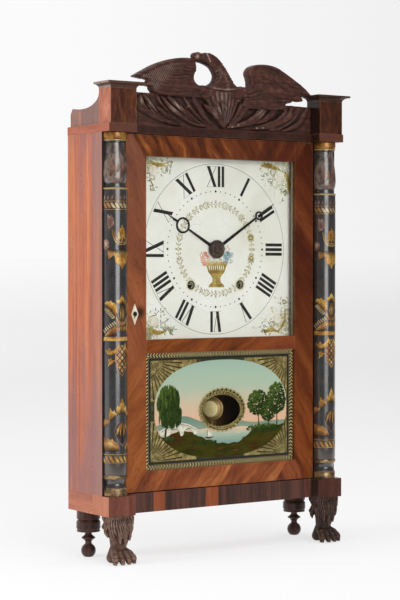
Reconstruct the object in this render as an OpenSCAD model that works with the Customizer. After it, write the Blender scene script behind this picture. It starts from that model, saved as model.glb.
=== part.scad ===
// Half-column shelf clock with a carved eagle splat, paw feet and a thirty-hour wooden movement.
// Lengths are in millimetres: X to the right, Y to the back, Z up from the floor.
// Y is measured from the front of the base blocks, and centred() moves the clock onto the origin.

/* [Case] */
// Width over the two side panels
case_w = 440; // [436:1:446]
// Depth from the front of the base blocks to the back
case_d = 118; // [116:1:122]
// Underside of the base above the floor
base_z = 72; // [68:1:76]
// Height of the base course
base_h = 29.5; // [28:0.5:32]
// Height of the case between the base and the top board
case_h = 540.5; // [540:0.5:545]
// Thickness of the side panels
side_t = 13; // [12:0.5:14]
// Thickness of the backboard
back_t = 9; // [8:0.5:10]
// Width of each base block
block_w = 46.8; // [45:0.2:48]
// Depth of each base block
block_d = 46; // [42:1:50]

/* [Columns] */
// Distance of each column's axis from the middle
column_x = 198; // [197:0.5:199]
// Radius of the shaft
shaft_r = 19; // [18:0.5:19]

/* [Top] */
// Thickness of the top board
top_t = 12.3; // [11:0.1:14]
// Height of the corner blocks
corner_h = 51.7; // [48:0.1:54]
// Height of the moulded caps
cap_h = 9.5; // [8:0.5:11]
// Overhang of the caps past the corner blocks
cap_out = 9.5; // [8:0.5:11]

/* [Door] */
// Half width of the door
door_x = 177.5; // [177:0.1:177.8]
// Front face of the door
door_y = 20.5; // [20:0.1:21]
// Thickness of the door frame
door_t = 17; // [16:0.5:17]
// Half width of both panes' openings
pane_x = 141; // [138:0.5:142]
// Thickness of the glass
glass_t = 2; // [1.6:0.1:2.2]

/* [Hands and dial] */
// Height of the hand arbor above the floor
hand_z = 469.5; // [469:0.1:470]
// Front face of the dial
dial_y = 40; // [39.5:0.1:40.5]
// Thickness of the dial panel
dial_t = 6; // [5:0.5:6]
// Distance of each winding arbor from the middle
wind_x = 46.5; // [46:0.1:47]
// Height of the winding arbors
wind_z = 414; // [413:0.1:415]

/* [Movement] */
// Distance from the pendulum's pivot to the middle of its bob
pendulum_l = 306.8; // [300:0.1:310]
// Radius of each weight
weight_r = 21.5; // [18:0.5:21.5]
// Radius of the cord's centre line on drum and pulley
cord_wrap_r = 11; // [10.8:0.1:11.2]
// Radius of the weight cord
cord_r = 1.1; // [1:0.1:1.2]

/* [Hidden] */
$fn = 48;

// Colours
mahogany = "#8a4a35";
crotch = "#9a5026";
dark_carving = "#3f2a24";
ebonised = "#1d1a1a";
whitewood = "#b08a5a";
enamel = "#e9e8e0";
blued = "#2b2b2f";
brass = "#b08d45";
iron = "#3c3a38";
cherry = "#9b6238";

// Heights and depths of the case
floor_top = base_z + base_h;
case_top = floor_top + case_h;
top_z = case_top + top_t;
corner_top = top_z + corner_h;
side_x = case_w / 2;
in_x = side_x - side_t;
back_in = case_d - back_t;
stile_y = 19;
ear_y = -3;
mid_y = (case_d + ear_y - cap_out) / 2;
rail_y = 18.5;
rail_t = 15.5;
bottom_t = 13.5;
base_side_t = 15;

// Door and its panes
door_gap = 1;
door_lo = floor_top + 1.5;
door_hi = case_top - door_gap;
door_back = door_y + door_t;
lower_z = [133.9, 311.2];
upper_z = [332.1, 609];
rabbet = 5;
fit = 0.2;
upper_glass_y = door_y + 4;
lower_glass_y = door_y + 6;
bead_t = 5;
stile_x = door_x + 2;
pivot = [173.5, 24];
pin_r = 1.5;
pin_l = 10;
plate_t = 1.6;
lock_x = -162;
lock_z = 371;
bolt_y = [31.8, 34.8];
bolt_h = 12;

// Movement
front_plate_y = [60, 66];
back_plate_y = [96, 102];
run = 0.05;
plate_x = 95;
plate_z = [362, 552];
hands = [0, hand_z];
great_teeth = 60;
great_module = 1.4;
second_leaves = 10;
second_teeth = 60;
second_module = 1.1;
third_leaves = 7;
third_teeth = 63;
third_module = 1;
escape_leaves = 7;
escape_teeth = 42;
escape_r = 24;
minute_teeth = 36;
hour_leaves = 6;
hour_teeth = 72;
great_reach = (great_teeth + second_leaves) * great_module / 2;
second_reach = (second_teeth + third_leaves) * second_module / 2;
third_reach = (third_teeth + escape_leaves) * third_module / 2;
hour_module = 0.945;
motion_reach = (hour_teeth + hour_leaves) * hour_module / 2;
minute_module = 2 * motion_reach / (2 * minute_teeth);
verge_span = 8.5 * 360 / escape_teeth / 2;
escape_at = [0, hand_z + 27.5];
verge_at = [0, escape_at[1] + escape_r / cos(verge_span)];
great_at = [-wind_x, wind_z];
second_at = meet(great_at, great_reach, hands, motion_reach);
third_at = meet(second_at, second_reach, escape_at, third_reach);
cord_y = 85;
drum_r = cord_wrap_r - cord_r - 0.3;
pulley_at = [139, 612];
weight_at = [pulley_at[0] + cord_wrap_r, cord_y];
weight_z = [455, 560];
eye_z = 575;
bob_z = verge_at[1] - pendulum_l;
rod_y = 50.5;
bell_at = [28, 81];
bell_z = 560;
hammer_at = [60, 542];

// The crossing of two circles that lies to the left of the way from a to b
function meet(a, ra, b, rb) =
    let (d = norm(b - a), u = (b - a) / d, k = (ra * ra - rb * rb + d * d) / (2 * d),
         h = sqrt(ra * ra - k * k))
    a + k * u + h * [-u[1], u[0]];
function angle_to(a, b) = atan2(b[1] - a[1], b[0] - a[0]);
function mirrored(p) = [-p[0], p[1]];
function polar(r, a) = [r * cos(a), r * sin(a)];

// A smooth closed curve through the points p, with n steps between neighbours
function curve(p, n = 4) =
    [for (i = [0:len(p) - 1]) for (s = [0:n - 1])
        let (k = len(p), t = s / n, a = p[(i + k - 1) % k], b = p[i], c = p[(i + 1) % k],
             d = p[(i + 2) % k])
        0.5 * (2 * b + (c - a) * t + (2 * a - 5 * b + 4 * c - d) * t * t
            + (3 * b - a - 3 * c + d) * t * t * t)];

// A pointed leaf: half width w about a bent spine from a past b to c
function leaf(a, b, c, w, n = 10) =
    let (at = function (t) (1 - t) * (1 - t) * a + 2 * t * (1 - t) * b + t * t * c,
         way = function (t) let (v = (1 - t) * (b - a) + t * (c - b)) v / norm(v),
         half = function (t) w * pow(sin(180 * pow(t, 0.7)), 0.8))
    concat([for (i = [0:n]) let (t = i / n, v = way(t)) at(t) + half(t) * [-v[1], v[0]]],
        [for (i = [n - 1:-1:1]) let (t = i / n, v = way(t)) at(t) - half(t) * [-v[1], v[0]]]);

// Teeth whose flanks pass the three [radius, half width in parts of the pitch] pairs
function toothed(n, flank) =
    [for (i = [0:n - 1]) for (s = [-1, 1])
        for (f = s < 0 ? flank : [flank[2], flank[1], flank[0]])
            polar(f[0], (i + s * f[1]) * 360 / n)];
function wheel_flank(n, m) =
    let (r = n * m / 2) [[r - 1.05 * m, 0.24], [r, 0.21], [r + 0.75 * m, 0.08]];
function pinion_flank(n, m) =
    let (r = n * m / 2) [[r - 1.1 * m, 0.15], [r, 0.15], [r + 0.6 * m, 0.05]];

module centred() { translate([0, -mid_y, 0]) children(); }

module box(a, b) { translate(a) cube(b - a); }

module both_sides() {
    children();
    mirror([1, 0, 0]) children();
}

// A flat outline in X and Z that fills the depth from y0 to y1
module board(y0, y1) {
    translate([0, y1, 0]) rotate([90, 0, 0]) linear_extrude(y1 - y0) children();
}

// A flat outline in Y and Z that fills the width from x0 to x1
module fin(x0, x1) {
    translate([x0, 0, 0]) rotate([90, 0, 90]) linear_extrude(x1 - x0) children();
}

// A round bar along Y at the place p in X and Z
module bar(p, r, y0, y1) {
    translate([p[0], y0, p[1]]) rotate([-90, 0, 0]) cylinder(r = r, h = y1 - y0);
}

// A round wire in the plane of depth y, from p to q in X and Z
module wire(p, q, y, r) {
    translate([p[0], y, p[1]]) rotate([0, 90 - angle_to(p, q), 0]) cylinder(r = r, h = norm(q - p));
}

// A toothed wheel at p between y0 and y1, with a tooth that points along the angle a
module wheel(p, n, m, y0, y1, a) {
    board(y0, y1) translate(p) rotate(a) polygon(toothed(n, wheel_flank(n, m)));
}

// A pinion at p between y0 and y1, with a gap that faces along the angle a
module pinion(p, n, m, y0, y1, a) {
    board(y0, y1) translate(p) rotate(a + 180 / n) polygon(toothed(n, pinion_flank(n, m)));
}

// An arbor with a turned-down pivot in each plate
module arbor(p, r) {
    bar(p, r, front_plate_y[1] + 0.3, back_plate_y[0] - 0.3);
    bar(p, 1.2, front_plate_y[0] + 0.5, back_plate_y[1] - 0.5);
}

module side_panels() {
    color(mahogany) centred() both_sides()
        box([in_x, stile_y, floor_top], [side_x, case_d, case_top]);
}

// Face stiles behind the columns, with a lip that the dial panel lies against
module front_stiles() {
    lip_x = 168;
    lip_t = 4;
    dial_back = dial_y + dial_t;
    pocket_x = stile_x + 6;
    color(ebonised) centred() difference() {
        both_sides() {
            box([stile_x, stile_y, floor_top], [in_x, dial_back, case_top]);
            box([lip_x, dial_back, floor_top], [in_x, dial_back + lip_t, case_top]);
        }
        box([-pocket_x, bolt_y[0] - 0.8, lock_z - bolt_h / 2 - 1],
            [-stile_x, bolt_y[1] + 0.8, lock_z + bolt_h / 2 + 1]);
    }
}

// The turned profile of a column as [radius, height] from its foot to its head
function column_profile() =
    let (foot_r = shaft_r - 0.1, neck_r = shaft_r - 4.5, z = floor_top, head = case_top)
    concat(
        [[0, z], [foot_r, z], [foot_r, z + 11.5]],
        [for (i = [0:6]) [foot_r - 0.4 - 2.6 * sin(30 * i), z + 12.5 + 13 * i / 6]],
        [for (i = [0:4]) [shaft_r + 0.6 * sin(45 * i), z + 25.6 + 5.7 * i / 4]],
        [[shaft_r - 0.4, z + 32], [shaft_r, z + 60], [shaft_r, z + 453.5]],
        [for (i = [0:4]) [shaft_r + 0.8 * sin(45 * i), z + 455.3 + 2.6 * i / 4]],
        [[shaft_r - 2, z + 459], [shaft_r - 2, z + 463]],
        [for (i = [0:10]) [neck_r + 2 + (2.9 - 0.3 * i) * sin(18 * i + 30), z + 464.5 + 5.4 * i]],
        [[neck_r, head - 19], [neck_r, head - 15.6], [shaft_r - 1.6, head - 15.2],
         [shaft_r - 1.6, head - 13.6], [shaft_r - 0.4, head - 13.2],
         [shaft_r - 0.4, head - 11.4], [shaft_r + 0.3, head - 10.8], [shaft_r + 0.3, head],
         [0, head]]);

module half_columns() {
    color(ebonised) centred() both_sides()
        translate([column_x, stile_y, 0]) rotate([0, 0, 180])
            rotate_extrude(angle = 180) polygon(column_profile());
}

module bottom_board() {
    z = floor_top - bottom_t;
    color(whitewood) centred() difference() {
        box([base_side_t - side_x, rail_y + rail_t, z], [side_x - base_side_t, back_in, floor_top]);
        both_sides() box([side_x - block_w, 0, z - 1], [side_x, block_d, floor_top + 1]);
    }
}

module base_rail_front() {
    x = side_x - block_w;
    color(crotch) centred() box([-x, rail_y, base_z], [x, rail_y + rail_t, floor_top]);
}

module base_sides() {
    color(mahogany) centred() both_sides()
        box([side_x - base_side_t, block_d, base_z], [side_x, case_d, floor_top]);
}

// Two front blocks that carry the columns, and two glue blocks over the rear feet
module base_blocks() {
    color(mahogany) centred() both_sides() {
        box([side_x - block_w, 0, base_z], [side_x, block_d, floor_top]);
        box([side_x - base_side_t - 30, case_d - 42, base_z],
            [side_x - base_side_t, back_in, floor_top - bottom_t]);
    }
}

// A ball for the blended forms of the feet
module ball(p, r) { translate(p) sphere(r = r, $fn = 20); }

// A carved paw: the leg, four toes, and locks of hair that hang over the ankle
module paw_foot() {
    x = 194.5;
    toes = [-14.5, -5, 5, 14.5];
    locks = [[-18, 8, 44], [-11, 1, 36], [-2, -1, 27], [7, 0, 33], [15, 4, 42], [-20, 20, 38], [19, 18, 40]];
    intersection() {
        box([150, -20, 0], [230, 60, base_z]);
        union() {
            hull() {
                box([174, 0.5, base_z - 4], [216, 26, base_z]);
                ball([x - 8, 9.5, 48], 11);
                ball([x + 8, 9.5, 48], 11);
            }
            hull() {
                ball([x - 8, 9.5, 50], 11);
                ball([x + 8, 9.5, 50], 11);
                ball([x, 15.5, 24], 11.5);
            }
            hull() {
                ball([x, 15.5, 25], 11.5);
                ball([x - 7, 22.5, 8], 9);
                ball([x + 7, 22.5, 8], 9);
            }
            for (t = toes) hull() {
                ball([x + 0.5 * t, 11.5, 17], 8);
                ball([x + 1.05 * t, -0.5, 11], 6.5);
                ball([x + 1.1 * t, -7 + 0.02 * t * t, 4.5], 5);
            }
            for (k = locks) hull() {
                ball([x + 0.8 * k[0], 0.5 * k[1] + 3.5, base_z - 8], 5.5);
                ball([x + k[0], k[1] - 0.5, 0.5 * (k[2] + base_z - 10)], 5);
                ball([x + 0.95 * k[0], k[1] - 2.5, k[2]], 1.2);
            }
        }
    }
}

module paw_feet() {
    color(dark_carving) centred() both_sides() paw_foot();
}

// The turned profile of a rear foot as [radius, height]
function rear_foot_profile() =
    let (ball_r = 11.3, ball_z = 9.5, flat_r = sqrt(ball_r * ball_r - ball_z * ball_z))
    concat(
        [[0, 0], [flat_r, 0]],
        [for (a = [-45:15:60]) [ball_r * cos(a), ball_z + ball_r * sin(a)]],
        [[4.9, 20.5], [4.9, 23.5], [7.5, 26.5], [10.6, 28.3], [10.6, 29.6], [7, 32.2],
         [5.2, 34.2], [5.2, 37], [9, 38], [17.6, 38.8], [18, 40], [17, 41.4], [18.4, 44],
         [18.4, 53], [17.2, 55.6], [15.4, 56.6], [18, 58.4], [18, base_z], [0, base_z]]);

module rear_feet() {
    inset = 22.3;
    color(dark_carving) centred() both_sides()
        translate([side_x - inset, case_d - inset, 0]) rotate_extrude() polygon(rear_foot_profile());
}

// The top board comes forward in two ears over the columns
module top_board() {
    x = side_x + 0.6;
    ear_x = 172;
    color(mahogany) centred() translate([0, 0, case_top]) linear_extrude(top_t)
        polygon([[-x, ear_y], [-ear_x, ear_y], [-ear_x, rail_y], [ear_x, rail_y],
                 [ear_x, ear_y], [x, ear_y], [x, case_d], [-x, case_d]]);
}

module back_board() {
    low_x = side_x - base_side_t;
    color(whitewood) centred() {
        box([-in_x, back_in, floor_top], [in_x, case_d, case_top]);
        box([-low_x, back_in, base_z], [low_x, case_d, floor_top]);
    }
}

corner_x = [173, 218];
corner_back = 30.4;
module corner_blocks() {
    color(mahogany) centred() both_sides()
        box([corner_x[0], ear_y, top_z], [corner_x[1], corner_back, corner_top]);
}

// A hollow moulding that spreads by w while it rises by h
function cavetto(w, h) = [for (i = [0:8]) let (a = 90 * i / 8) [w * (1 - cos(a)), h * sin(a)]];

module block_caps() {
    rise = cap_h - 3;
    hollow = cavetto(cap_out, rise);
    out_x = [for (q = hollow) [corner_x[1] + q[0], corner_top + q[1]]];
    inner_x = [for (i = [8:-1:0]) [corner_x[0] - hollow[i][0], corner_top + hollow[i][1]]];
    front_y = [for (i = [8:-1:0]) [ear_y - hollow[i][0], corner_top + hollow[i][1]]];
    cap_z = corner_top + cap_h;
    color(mahogany) centred() both_sides() intersection() {
        board(ear_y - cap_out, corner_back)
            polygon(concat(out_x, [[corner_x[1] + cap_out, cap_z], [corner_x[0] - cap_out, cap_z]],
                inner_x));
        fin(corner_x[0] - cap_out, corner_x[1] + cap_out)
            polygon(concat([[corner_back, corner_top], [corner_back, cap_z],
                [ear_y - cap_out, cap_z]], front_y));
    }
}

// The swept board that runs back from each corner block along the side
module gallery_returns() {
    low = 679.5;
    sweep = [for (i = [0:10]) let (a = 9 * i)
        [corner_back + 48 * (1 - cos(a)), low + (corner_top - 5 - low) * (1 - sin(a))]];
    color(mahogany) centred() both_sides() fin(corner_x[1] - 10, corner_x[1])
        polygon(concat([[corner_back, top_z]], sweep,
            [[92, low + 0.3], [107, low + 2.2], [113, low - 6], [113, top_z]]));
}

// Outlines of the carved splat in X and Z
wing_left = [[-163, 725], [-139, 736], [-114, 748], [-91, 755], [-75, 759], [-60, 760],
    [-52, 757], [-50, 748], [-53, 739], [-55, 729], [-50, 721], [-44, 713], [-44, 700],
    [-114, 700], [-124, 704], [-135, 708], [-134, 713], [-140, 715], [-140, 720]];
wing_right = [[40, 719], [46, 723], [47, 730], [43, 740], [45, 748], [53, 755], [67, 758],
    [85, 757], [106, 751], [128, 741], [145, 731], [160, 724], [167.5, 719.5], [161, 715.2],
    [150, 708.5], [135, 705], [120, 700], [100, 692], [40, 692], [36, 705]];
neck = [[-61, 757], [-58.5, 765], [-50.5, 771], [-40, 769.5], [-32, 770.5], [-21, 767], [-7, 757],
    [4, 746], [14, 734], [23, 723], [33, 718], [34, 700], [-20, 692], [-44, 700], [-41, 713],
    [-31, 718], [-22.5, 724], [-18.5, 732], [-20.5, 741], [-29, 748.5], [-43, 753], [-52, 752],
    [-56, 756]];

module splat_leaves(w) {
    polygon(leaf([-168, 706], [-140, 668], [-86, 659], w));
    polygon(leaf([-157, 706], [-128, 672], [-84, 661], w));
    polygon(leaf([-120, 706], [-95, 668], [-50, 659], w));
    polygon(leaf([-108, 706], [-84, 674], [-48, 661], w));
    polygon(leaf([-78, 708], [-62, 676], [-18, 659], w));
    polygon(leaf([-62, 706], [-48, 682], [-16, 660], 0.9 * w));
    polygon(leaf([163, 692], [140, 664], [92, 659], w));
    polygon(leaf([137, 697], [124, 666], [74, 659], w));
    polygon(leaf([122, 695], [108, 668], [66, 660], w));
    polygon(leaf([92, 702], [80, 670], [30, 659], w));
    polygon(leaf([76, 700], [66, 674], [20, 660], w));
    polygon(leaf([44, 702], [34, 676], [8, 660], w));
}

module eagle_splat() {
    back = 31;
    wing_back = 26;
    ground = 21.7;
    relief = 15;
    color(dark_carving) centred() {
        board(ground, back) polygon([[-corner_x[0], top_z], [corner_x[0], top_z],
            [corner_x[0], 697], [30, 700], [-40, 704], [-corner_x[0], 704]]);
        board(ground, wing_back) {
            polygon(curve(wing_left, 3));
            polygon(curve(wing_right, 3));
        }
        board(ground - 2.2, ground)
            polygon([[-corner_x[0], top_z], [corner_x[0], top_z], [corner_x[0], top_z + 3],
                [-corner_x[0], top_z + 3]]);
        board(relief, ground) {
            splat_leaves(8.5);
            polygon(curve(wing_left, 3));
            polygon(curve(wing_right, 3));
        }
        board(relief - 3.5, relief) {
            splat_leaves(4.2);
            polygon(curve([[-152, 731], [-97, 751], [-62, 756], [-58, 738], [-62, 722], [-100, 722]], 4));
            polygon(curve([[44, 724], [44, 745], [66, 754], [104, 746], [146, 727], [96, 722]], 4));
        }
        board(relief - 3, wing_back - 2) polygon(curve(neck, 3));
        // The breast is a turned swelling, cut off at the ground
        intersection() {
            box([-50, 0, top_z + 1], [50, ground, 716]);
            translate([-5, ground + 24, 0]) rotate_extrude()
                polygon(concat([[0, 655.5], [23.6, 655.5]],
                    [for (i = [0:8]) [24 + 13 * pow(i / 8, 0.7), 657 + 6.6 * i]], [[33, 715.5], [0, 715.5]]));
        }
    }
}

module door_pivot_pins() {
    color(brass) centred() {
        translate([pivot[0], pivot[1], door_hi - pin_l]) cylinder(r = pin_r, h = pin_l + door_gap);
        translate([pivot[0], pivot[1], floor_top]) cylinder(r = pin_r, h = pin_l + 1.5);
    }
}

module dial_panel() {
    x = stile_x - 0.6;
    color(enamel) centred() difference() {
        box([-x, dial_y, 325], [x, dial_y + dial_t, case_top - 0.5]);
        bar(hands, 8, dial_y - 1, dial_y + dial_t + 1);
        for (s = [-1, 1]) bar([s * wind_x, wind_z], 5.8, dial_y - 1, dial_y + dial_t + 1);
    }
}

// The two rabbets that hold the panes, cut from the back of the frame
module pane_rabbets() {
    x = pane_x + rabbet;
    box([-x, upper_glass_y, upper_z[0] - rabbet], [x, door_back + 1, upper_z[1] + rabbet]);
    box([-x, lower_glass_y, lower_z[0] - rabbet], [x, door_back + 1, lower_z[1] + rabbet]);
}

module door_stile_lock() {
    color(crotch) centred() difference() {
        box([-door_x, door_y, door_lo], [-pane_x, door_back, door_hi]);
        pane_rabbets();
        box([lock_x - 10, bolt_y[0] - 1.3, lock_z - 19], [lock_x + 10, door_back + 1, lock_z + 19]);
        box([-door_x - 1, bolt_y[0] - 0.1, lock_z - bolt_h / 2 - 0.1],
            [lock_x, bolt_y[1] + 0.1, lock_z + bolt_h / 2 + 0.1]);
        bar([lock_x, lock_z + 2], 2, door_y - 1, bolt_y[0]);
        box([lock_x - 0.8, door_y - 1, lock_z - 6], [lock_x + 0.8, bolt_y[0], lock_z + 2]);
    }
}

module door_stile_hinge() {
    color(crotch) centred() difference() {
        box([pane_x, door_y, door_lo], [door_x, door_back, door_hi]);
        pane_rabbets();
        translate([pivot[0], pivot[1], door_lo - 1]) cylinder(r = pin_r + run, h = pin_l + 2);
        translate([pivot[0], pivot[1], door_hi - pin_l - 1]) cylinder(r = pin_r + run, h = pin_l + 2);
        box([166, door_y - 1, door_hi - plate_t], [door_x + 1, 29, door_hi + 1]);
        box([166, door_y - 1, door_lo - 1], [door_x + 1, 29, door_lo + plate_t]);
    }
}

module door_rail(z0, z1) {
    color(crotch) centred() difference() {
        box([-pane_x, door_y, z0], [pane_x, door_back, z1]);
        pane_rabbets();
    }
}

module door_top_rail() { door_rail(upper_z[1], door_hi); }
module door_mid_rail() { door_rail(lower_z[1], upper_z[0]); }
module door_bottom_rail() { door_rail(door_lo, lower_z[0]); }

module pane(y, z) {
    x = pane_x + rabbet - fit;
    box([-x, y, z[0] - rabbet + fit], [x, y + glass_t, z[1] + rabbet - fit]);
}

module upper_glass() { color([0.85, 0.9, 0.9, 0.3]) centred() pane(upper_glass_y, upper_z); }
module lower_tablet() { color("#56602f") centred() pane(lower_glass_y, lower_z); }

// Four strips of beading behind each pane
module bead_frame(y, z) {
    x = pane_x + rabbet - fit;
    w = rabbet - fit;
    lo = z[0] - rabbet + fit;
    hi = z[1] + rabbet - fit;
    for (s = [-1, 1]) box([s > 0 ? x - w : -x, y, lo], [s > 0 ? x : w - x, y + bead_t, hi]);
    box([w - x + fit, y, lo], [x - w - fit, y + bead_t, lo + w]);
    box([w - x + fit, y, hi - w], [x - w - fit, y + bead_t, hi]);
}

module glass_beads() {
    color(crotch) centred() {
        bead_frame(upper_glass_y + glass_t, upper_z);
        bead_frame(lower_glass_y + glass_t, lower_z);
    }
}

module key_escutcheon() {
    color("#d8cbb0") centred() difference() {
        board(door_y - 1, door_y) polygon([[lock_x - 6.5, lock_z], [lock_x, lock_z - 16.5],
            [lock_x + 6.5, lock_z], [lock_x, lock_z + 16.5]]);
        bar([lock_x, lock_z + 2], 2, door_y - 2, door_y + 1);
        box([lock_x - 0.8, door_y - 2, lock_z - 6], [lock_x + 0.8, door_y + 1, lock_z + 2]);
    }
}

module door_lock() {
    color(iron) centred() difference() {
        box([lock_x - 10, bolt_y[0] - 1.3, lock_z - 19], [lock_x + 10, door_back, lock_z + 19]);
        box([lock_x - 11, bolt_y[0] - 0.1, lock_z - bolt_h / 2 - 0.1],
            [lock_x + 6, bolt_y[1] + 0.1, lock_z + bolt_h / 2 + 0.1]);
    }
}

module lock_bolt() {
    color(brass) centred() box([-door_x + 0.2, bolt_y[0], lock_z - bolt_h / 2],
        [lock_x + 5, bolt_y[1], lock_z + bolt_h / 2]);
}

// Brass plates let into the top and bottom of the hinge stile, bored for the pins
module pivot_plates() {
    color(brass) centred() difference() {
        for (z = [door_lo, door_hi - plate_t]) box([166, door_y, z], [door_x, 29, z + plate_t]);
        translate([pivot[0], pivot[1], door_lo - 1]) cylinder(r = pin_r + run, h = case_h + 2);
    }
}

// Both plates have the same pivot holes
module pivot_holes(y) {
    for (p = [second_at, third_at, escape_at, verge_at, mirrored(second_at), mirrored(third_at), hammer_at])
        bar(p, 1.2 + run, y[0] - 1, y[1] + 1);
}

module movement_plate_front() {
    y = front_plate_y;
    color(cherry) centred() difference() {
        box([-plate_x, y[0], plate_z[0]], [plate_x, y[1], plate_z[1]]);
        pivot_holes(y);
        bar(hands, 1.5, y[0] - 1, y[1] + 1);
        for (s = [-1, 1]) bar([s * wind_x, wind_z], 3 + run, y[0] - 1, y[1] + 1);
    }
}

module movement_plate_back() {
    y = back_plate_y;
    color(cherry) centred() difference() {
        box([-plate_x, y[0], plate_z[0]], [plate_x, y[1], plate_z[1]]);
        pivot_holes(y);
        for (s = [-1, 1]) bar([s * wind_x, wind_z], 1.5 + run, y[0] - 1, y[1] + 1);
    }
}

module movement_pillars() {
    color(cherry) centred() for (s = [-1, 1]) for (p = [[87, 370], [86, 543]])
        bar([s * p[0], p[1]], 6, front_plate_y[1], back_plate_y[0]);
}

module movement_battens() {
    color(whitewood) centred() for (z = [374, 528])
        box([-plate_x - 8, back_plate_y[1], z], [plate_x + 8, back_in, z + 16]);
}

// The fixed centre stud, and the cock whose pin carries the pendulum
module front_plate_studs() {
    color(iron) centred() {
        bar(hands, 1.5, 29.5, front_plate_y[1]);
        box([-5, rod_y + 1.2, verge_at[1] + 4], [5, front_plate_y[0], verge_at[1] + 11]);
        box([-3, rod_y + 1.2, verge_at[1] - 1.5], [3, rod_y + 3.2, verge_at[1] + 4]);
        bar(verge_at, 1, rod_y - 1.6, rod_y + 1.4);
    }
}

// A cast bell on its post, turned in one profile
module bell() {
    bell_r = 26;
    wall = 1.6;
    boss = bell_z + bell_r;
    foot = bell_z - 8;
    color(brass) centred() {
        translate([bell_at[0], bell_at[1], 0]) rotate_extrude() polygon(concat(
            [for (a = [0:10:80]) [bell_r * cos(a), bell_z + bell_r * sin(a)]],
            [[4.4, boss + 0.5], [3.5, boss + 4], [0, boss + 5], [0, foot], [2, foot],
             [2, boss - wall - 3], [4.5, boss - wall - 3]],
            [for (a = [80:-10:0]) [(bell_r - wall) * cos(a), bell_z + (bell_r - wall) * sin(a)]]));
        box([bell_at[0] - 4, bell_at[1] - 4, foot - 6], [bell_at[0] + 4, back_plate_y[0], foot]);
    }
}

module pulley() {
    color(cherry) centred() translate([pulley_at[0], cord_y, pulley_at[1]]) rotate([90, 0, 0])
        rotate_extrude() polygon([[2 + run, -3], [13, -3], [13, -2.2], [drum_r, -1.5],
            [drum_r, 1.5], [13, 2.2], [13, 3], [2 + run, 3]]);
}

module time_pulley() { mirror([1, 0, 0]) pulley(); }
module strike_pulley() { pulley(); }

// Two cheeks, a bridge and a pin for each pulley, under the top board
module pulley_brackets() {
    x = [pulley_at[0] - 8, pulley_at[0] + 8];
    color(iron) centred() both_sides() {
        for (y = [cord_y - 5.2, cord_y + 3.4]) box([x[0], y, 603], [x[1], y + 1.8, case_top]);
        box([x[0], cord_y - 5.2, case_top - 3], [x[1], cord_y + 5.2, case_top]);
        bar(pulley_at, 2, cord_y - 5.2, cord_y + 5.2);
    }
}

// A wheel that runs free on the drum's arbor and carries the click
module great_wheel() {
    y = [68, 73];
    difference() {
        wheel(great_at, great_teeth, great_module, y[0], y[1], angle_to(great_at, second_at));
        bar(great_at, 3 + run, y[0] - 1, y[1] + 1);
        for (a = [45:90:315]) bar(great_at + polar(26, a), 9, y[0] - 1, y[1] + 1);
    }
    bar(great_at + [0, -17], 2.5, y[1], y[1] + 1.8);
}

module time_great_wheel() { color(cherry) centred() great_wheel(); }
module strike_great_wheel() { color(cherry) centred() mirror([1, 0, 0]) great_wheel(); }

// The drum, its ratchet and its arbor, which is squared for the key at the front
module drum() {
    y = [77, 93];
    bar(great_at, drum_r, y[0], y[1]);
    bar(great_at, 13, y[0] - 1.5, y[0]);
    bar(great_at, 13, y[1], y[1] + 1.5);
    board(73.4, 75.5) translate(great_at) polygon([for (i = [0:11]) for (q = [[11.5, 0], [9.2, 4]])
        polar(q[0], 30 * i + q[1])]);
    bar(great_at, 3, front_plate_y[0] - 0.5, back_plate_y[0] - 0.3);
    bar(great_at, 1.5, back_plate_y[0] - 0.3, back_plate_y[1] - 0.5);
    board(dial_y + 2, front_plate_y[0] - 0.5) translate(great_at) square(4.2, center = true);
}

module time_drum() { color(cherry) centred() drum(); }
module strike_drum() { color(cherry) centred() mirror([1, 0, 0]) drum(); }

// The second wheel and its pinion, on an arbor that reaches the hands' gears
module second_wheel() {
    arbor(second_at, 2.5);
    pinion(second_at, second_leaves, great_module, 67.5, 73.5, angle_to(second_at, great_at));
    wheel(second_at, second_teeth, second_module, 76, 80, angle_to(second_at, third_at));
}

module time_second_wheel() {
    color(cherry) centred() {
        second_wheel();
        bar(second_at, 1.2, 52.6, front_plate_y[0] + 1);
        wheel(second_at, minute_teeth, minute_module, 57, 59.5, angle_to(second_at, hands));
        pinion(second_at, hour_leaves, hour_module, 52.8, 56.2, angle_to(second_at, hands));
    }
}

module strike_second_wheel() {
    color(cherry) centred() mirror([1, 0, 0]) second_wheel();
}

module time_third_wheel() {
    color(cherry) centred() {
        arbor(third_at, 2);
        pinion(third_at, third_leaves, second_module, 75, 81, angle_to(third_at, second_at));
        wheel(third_at, third_teeth, third_module, 83, 87, angle_to(third_at, escape_at));
    }
}

// A sheet brass wheel with raked teeth and four arms
module escape_wheel() {
    y = [90, 93];
    color(brass) centred() {
        difference() {
            board(y[0], y[1]) translate(escape_at) polygon([for (i = [0:escape_teeth - 1])
                for (q = [[escape_r - 3.2, 0], [escape_r, 3.2], [escape_r - 3.2, 4.2]])
                    polar(q[0], 360 * i / escape_teeth + q[1])]);
            for (a = [45:90:315]) bar(escape_at + polar(11.5, a), 6, y[0] - 1, y[1] + 1);
        }
        arbor(escape_at, 1.8);
        pinion(escape_at, escape_leaves, third_module, 82, 88, angle_to(escape_at, third_at));
    }
}

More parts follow.
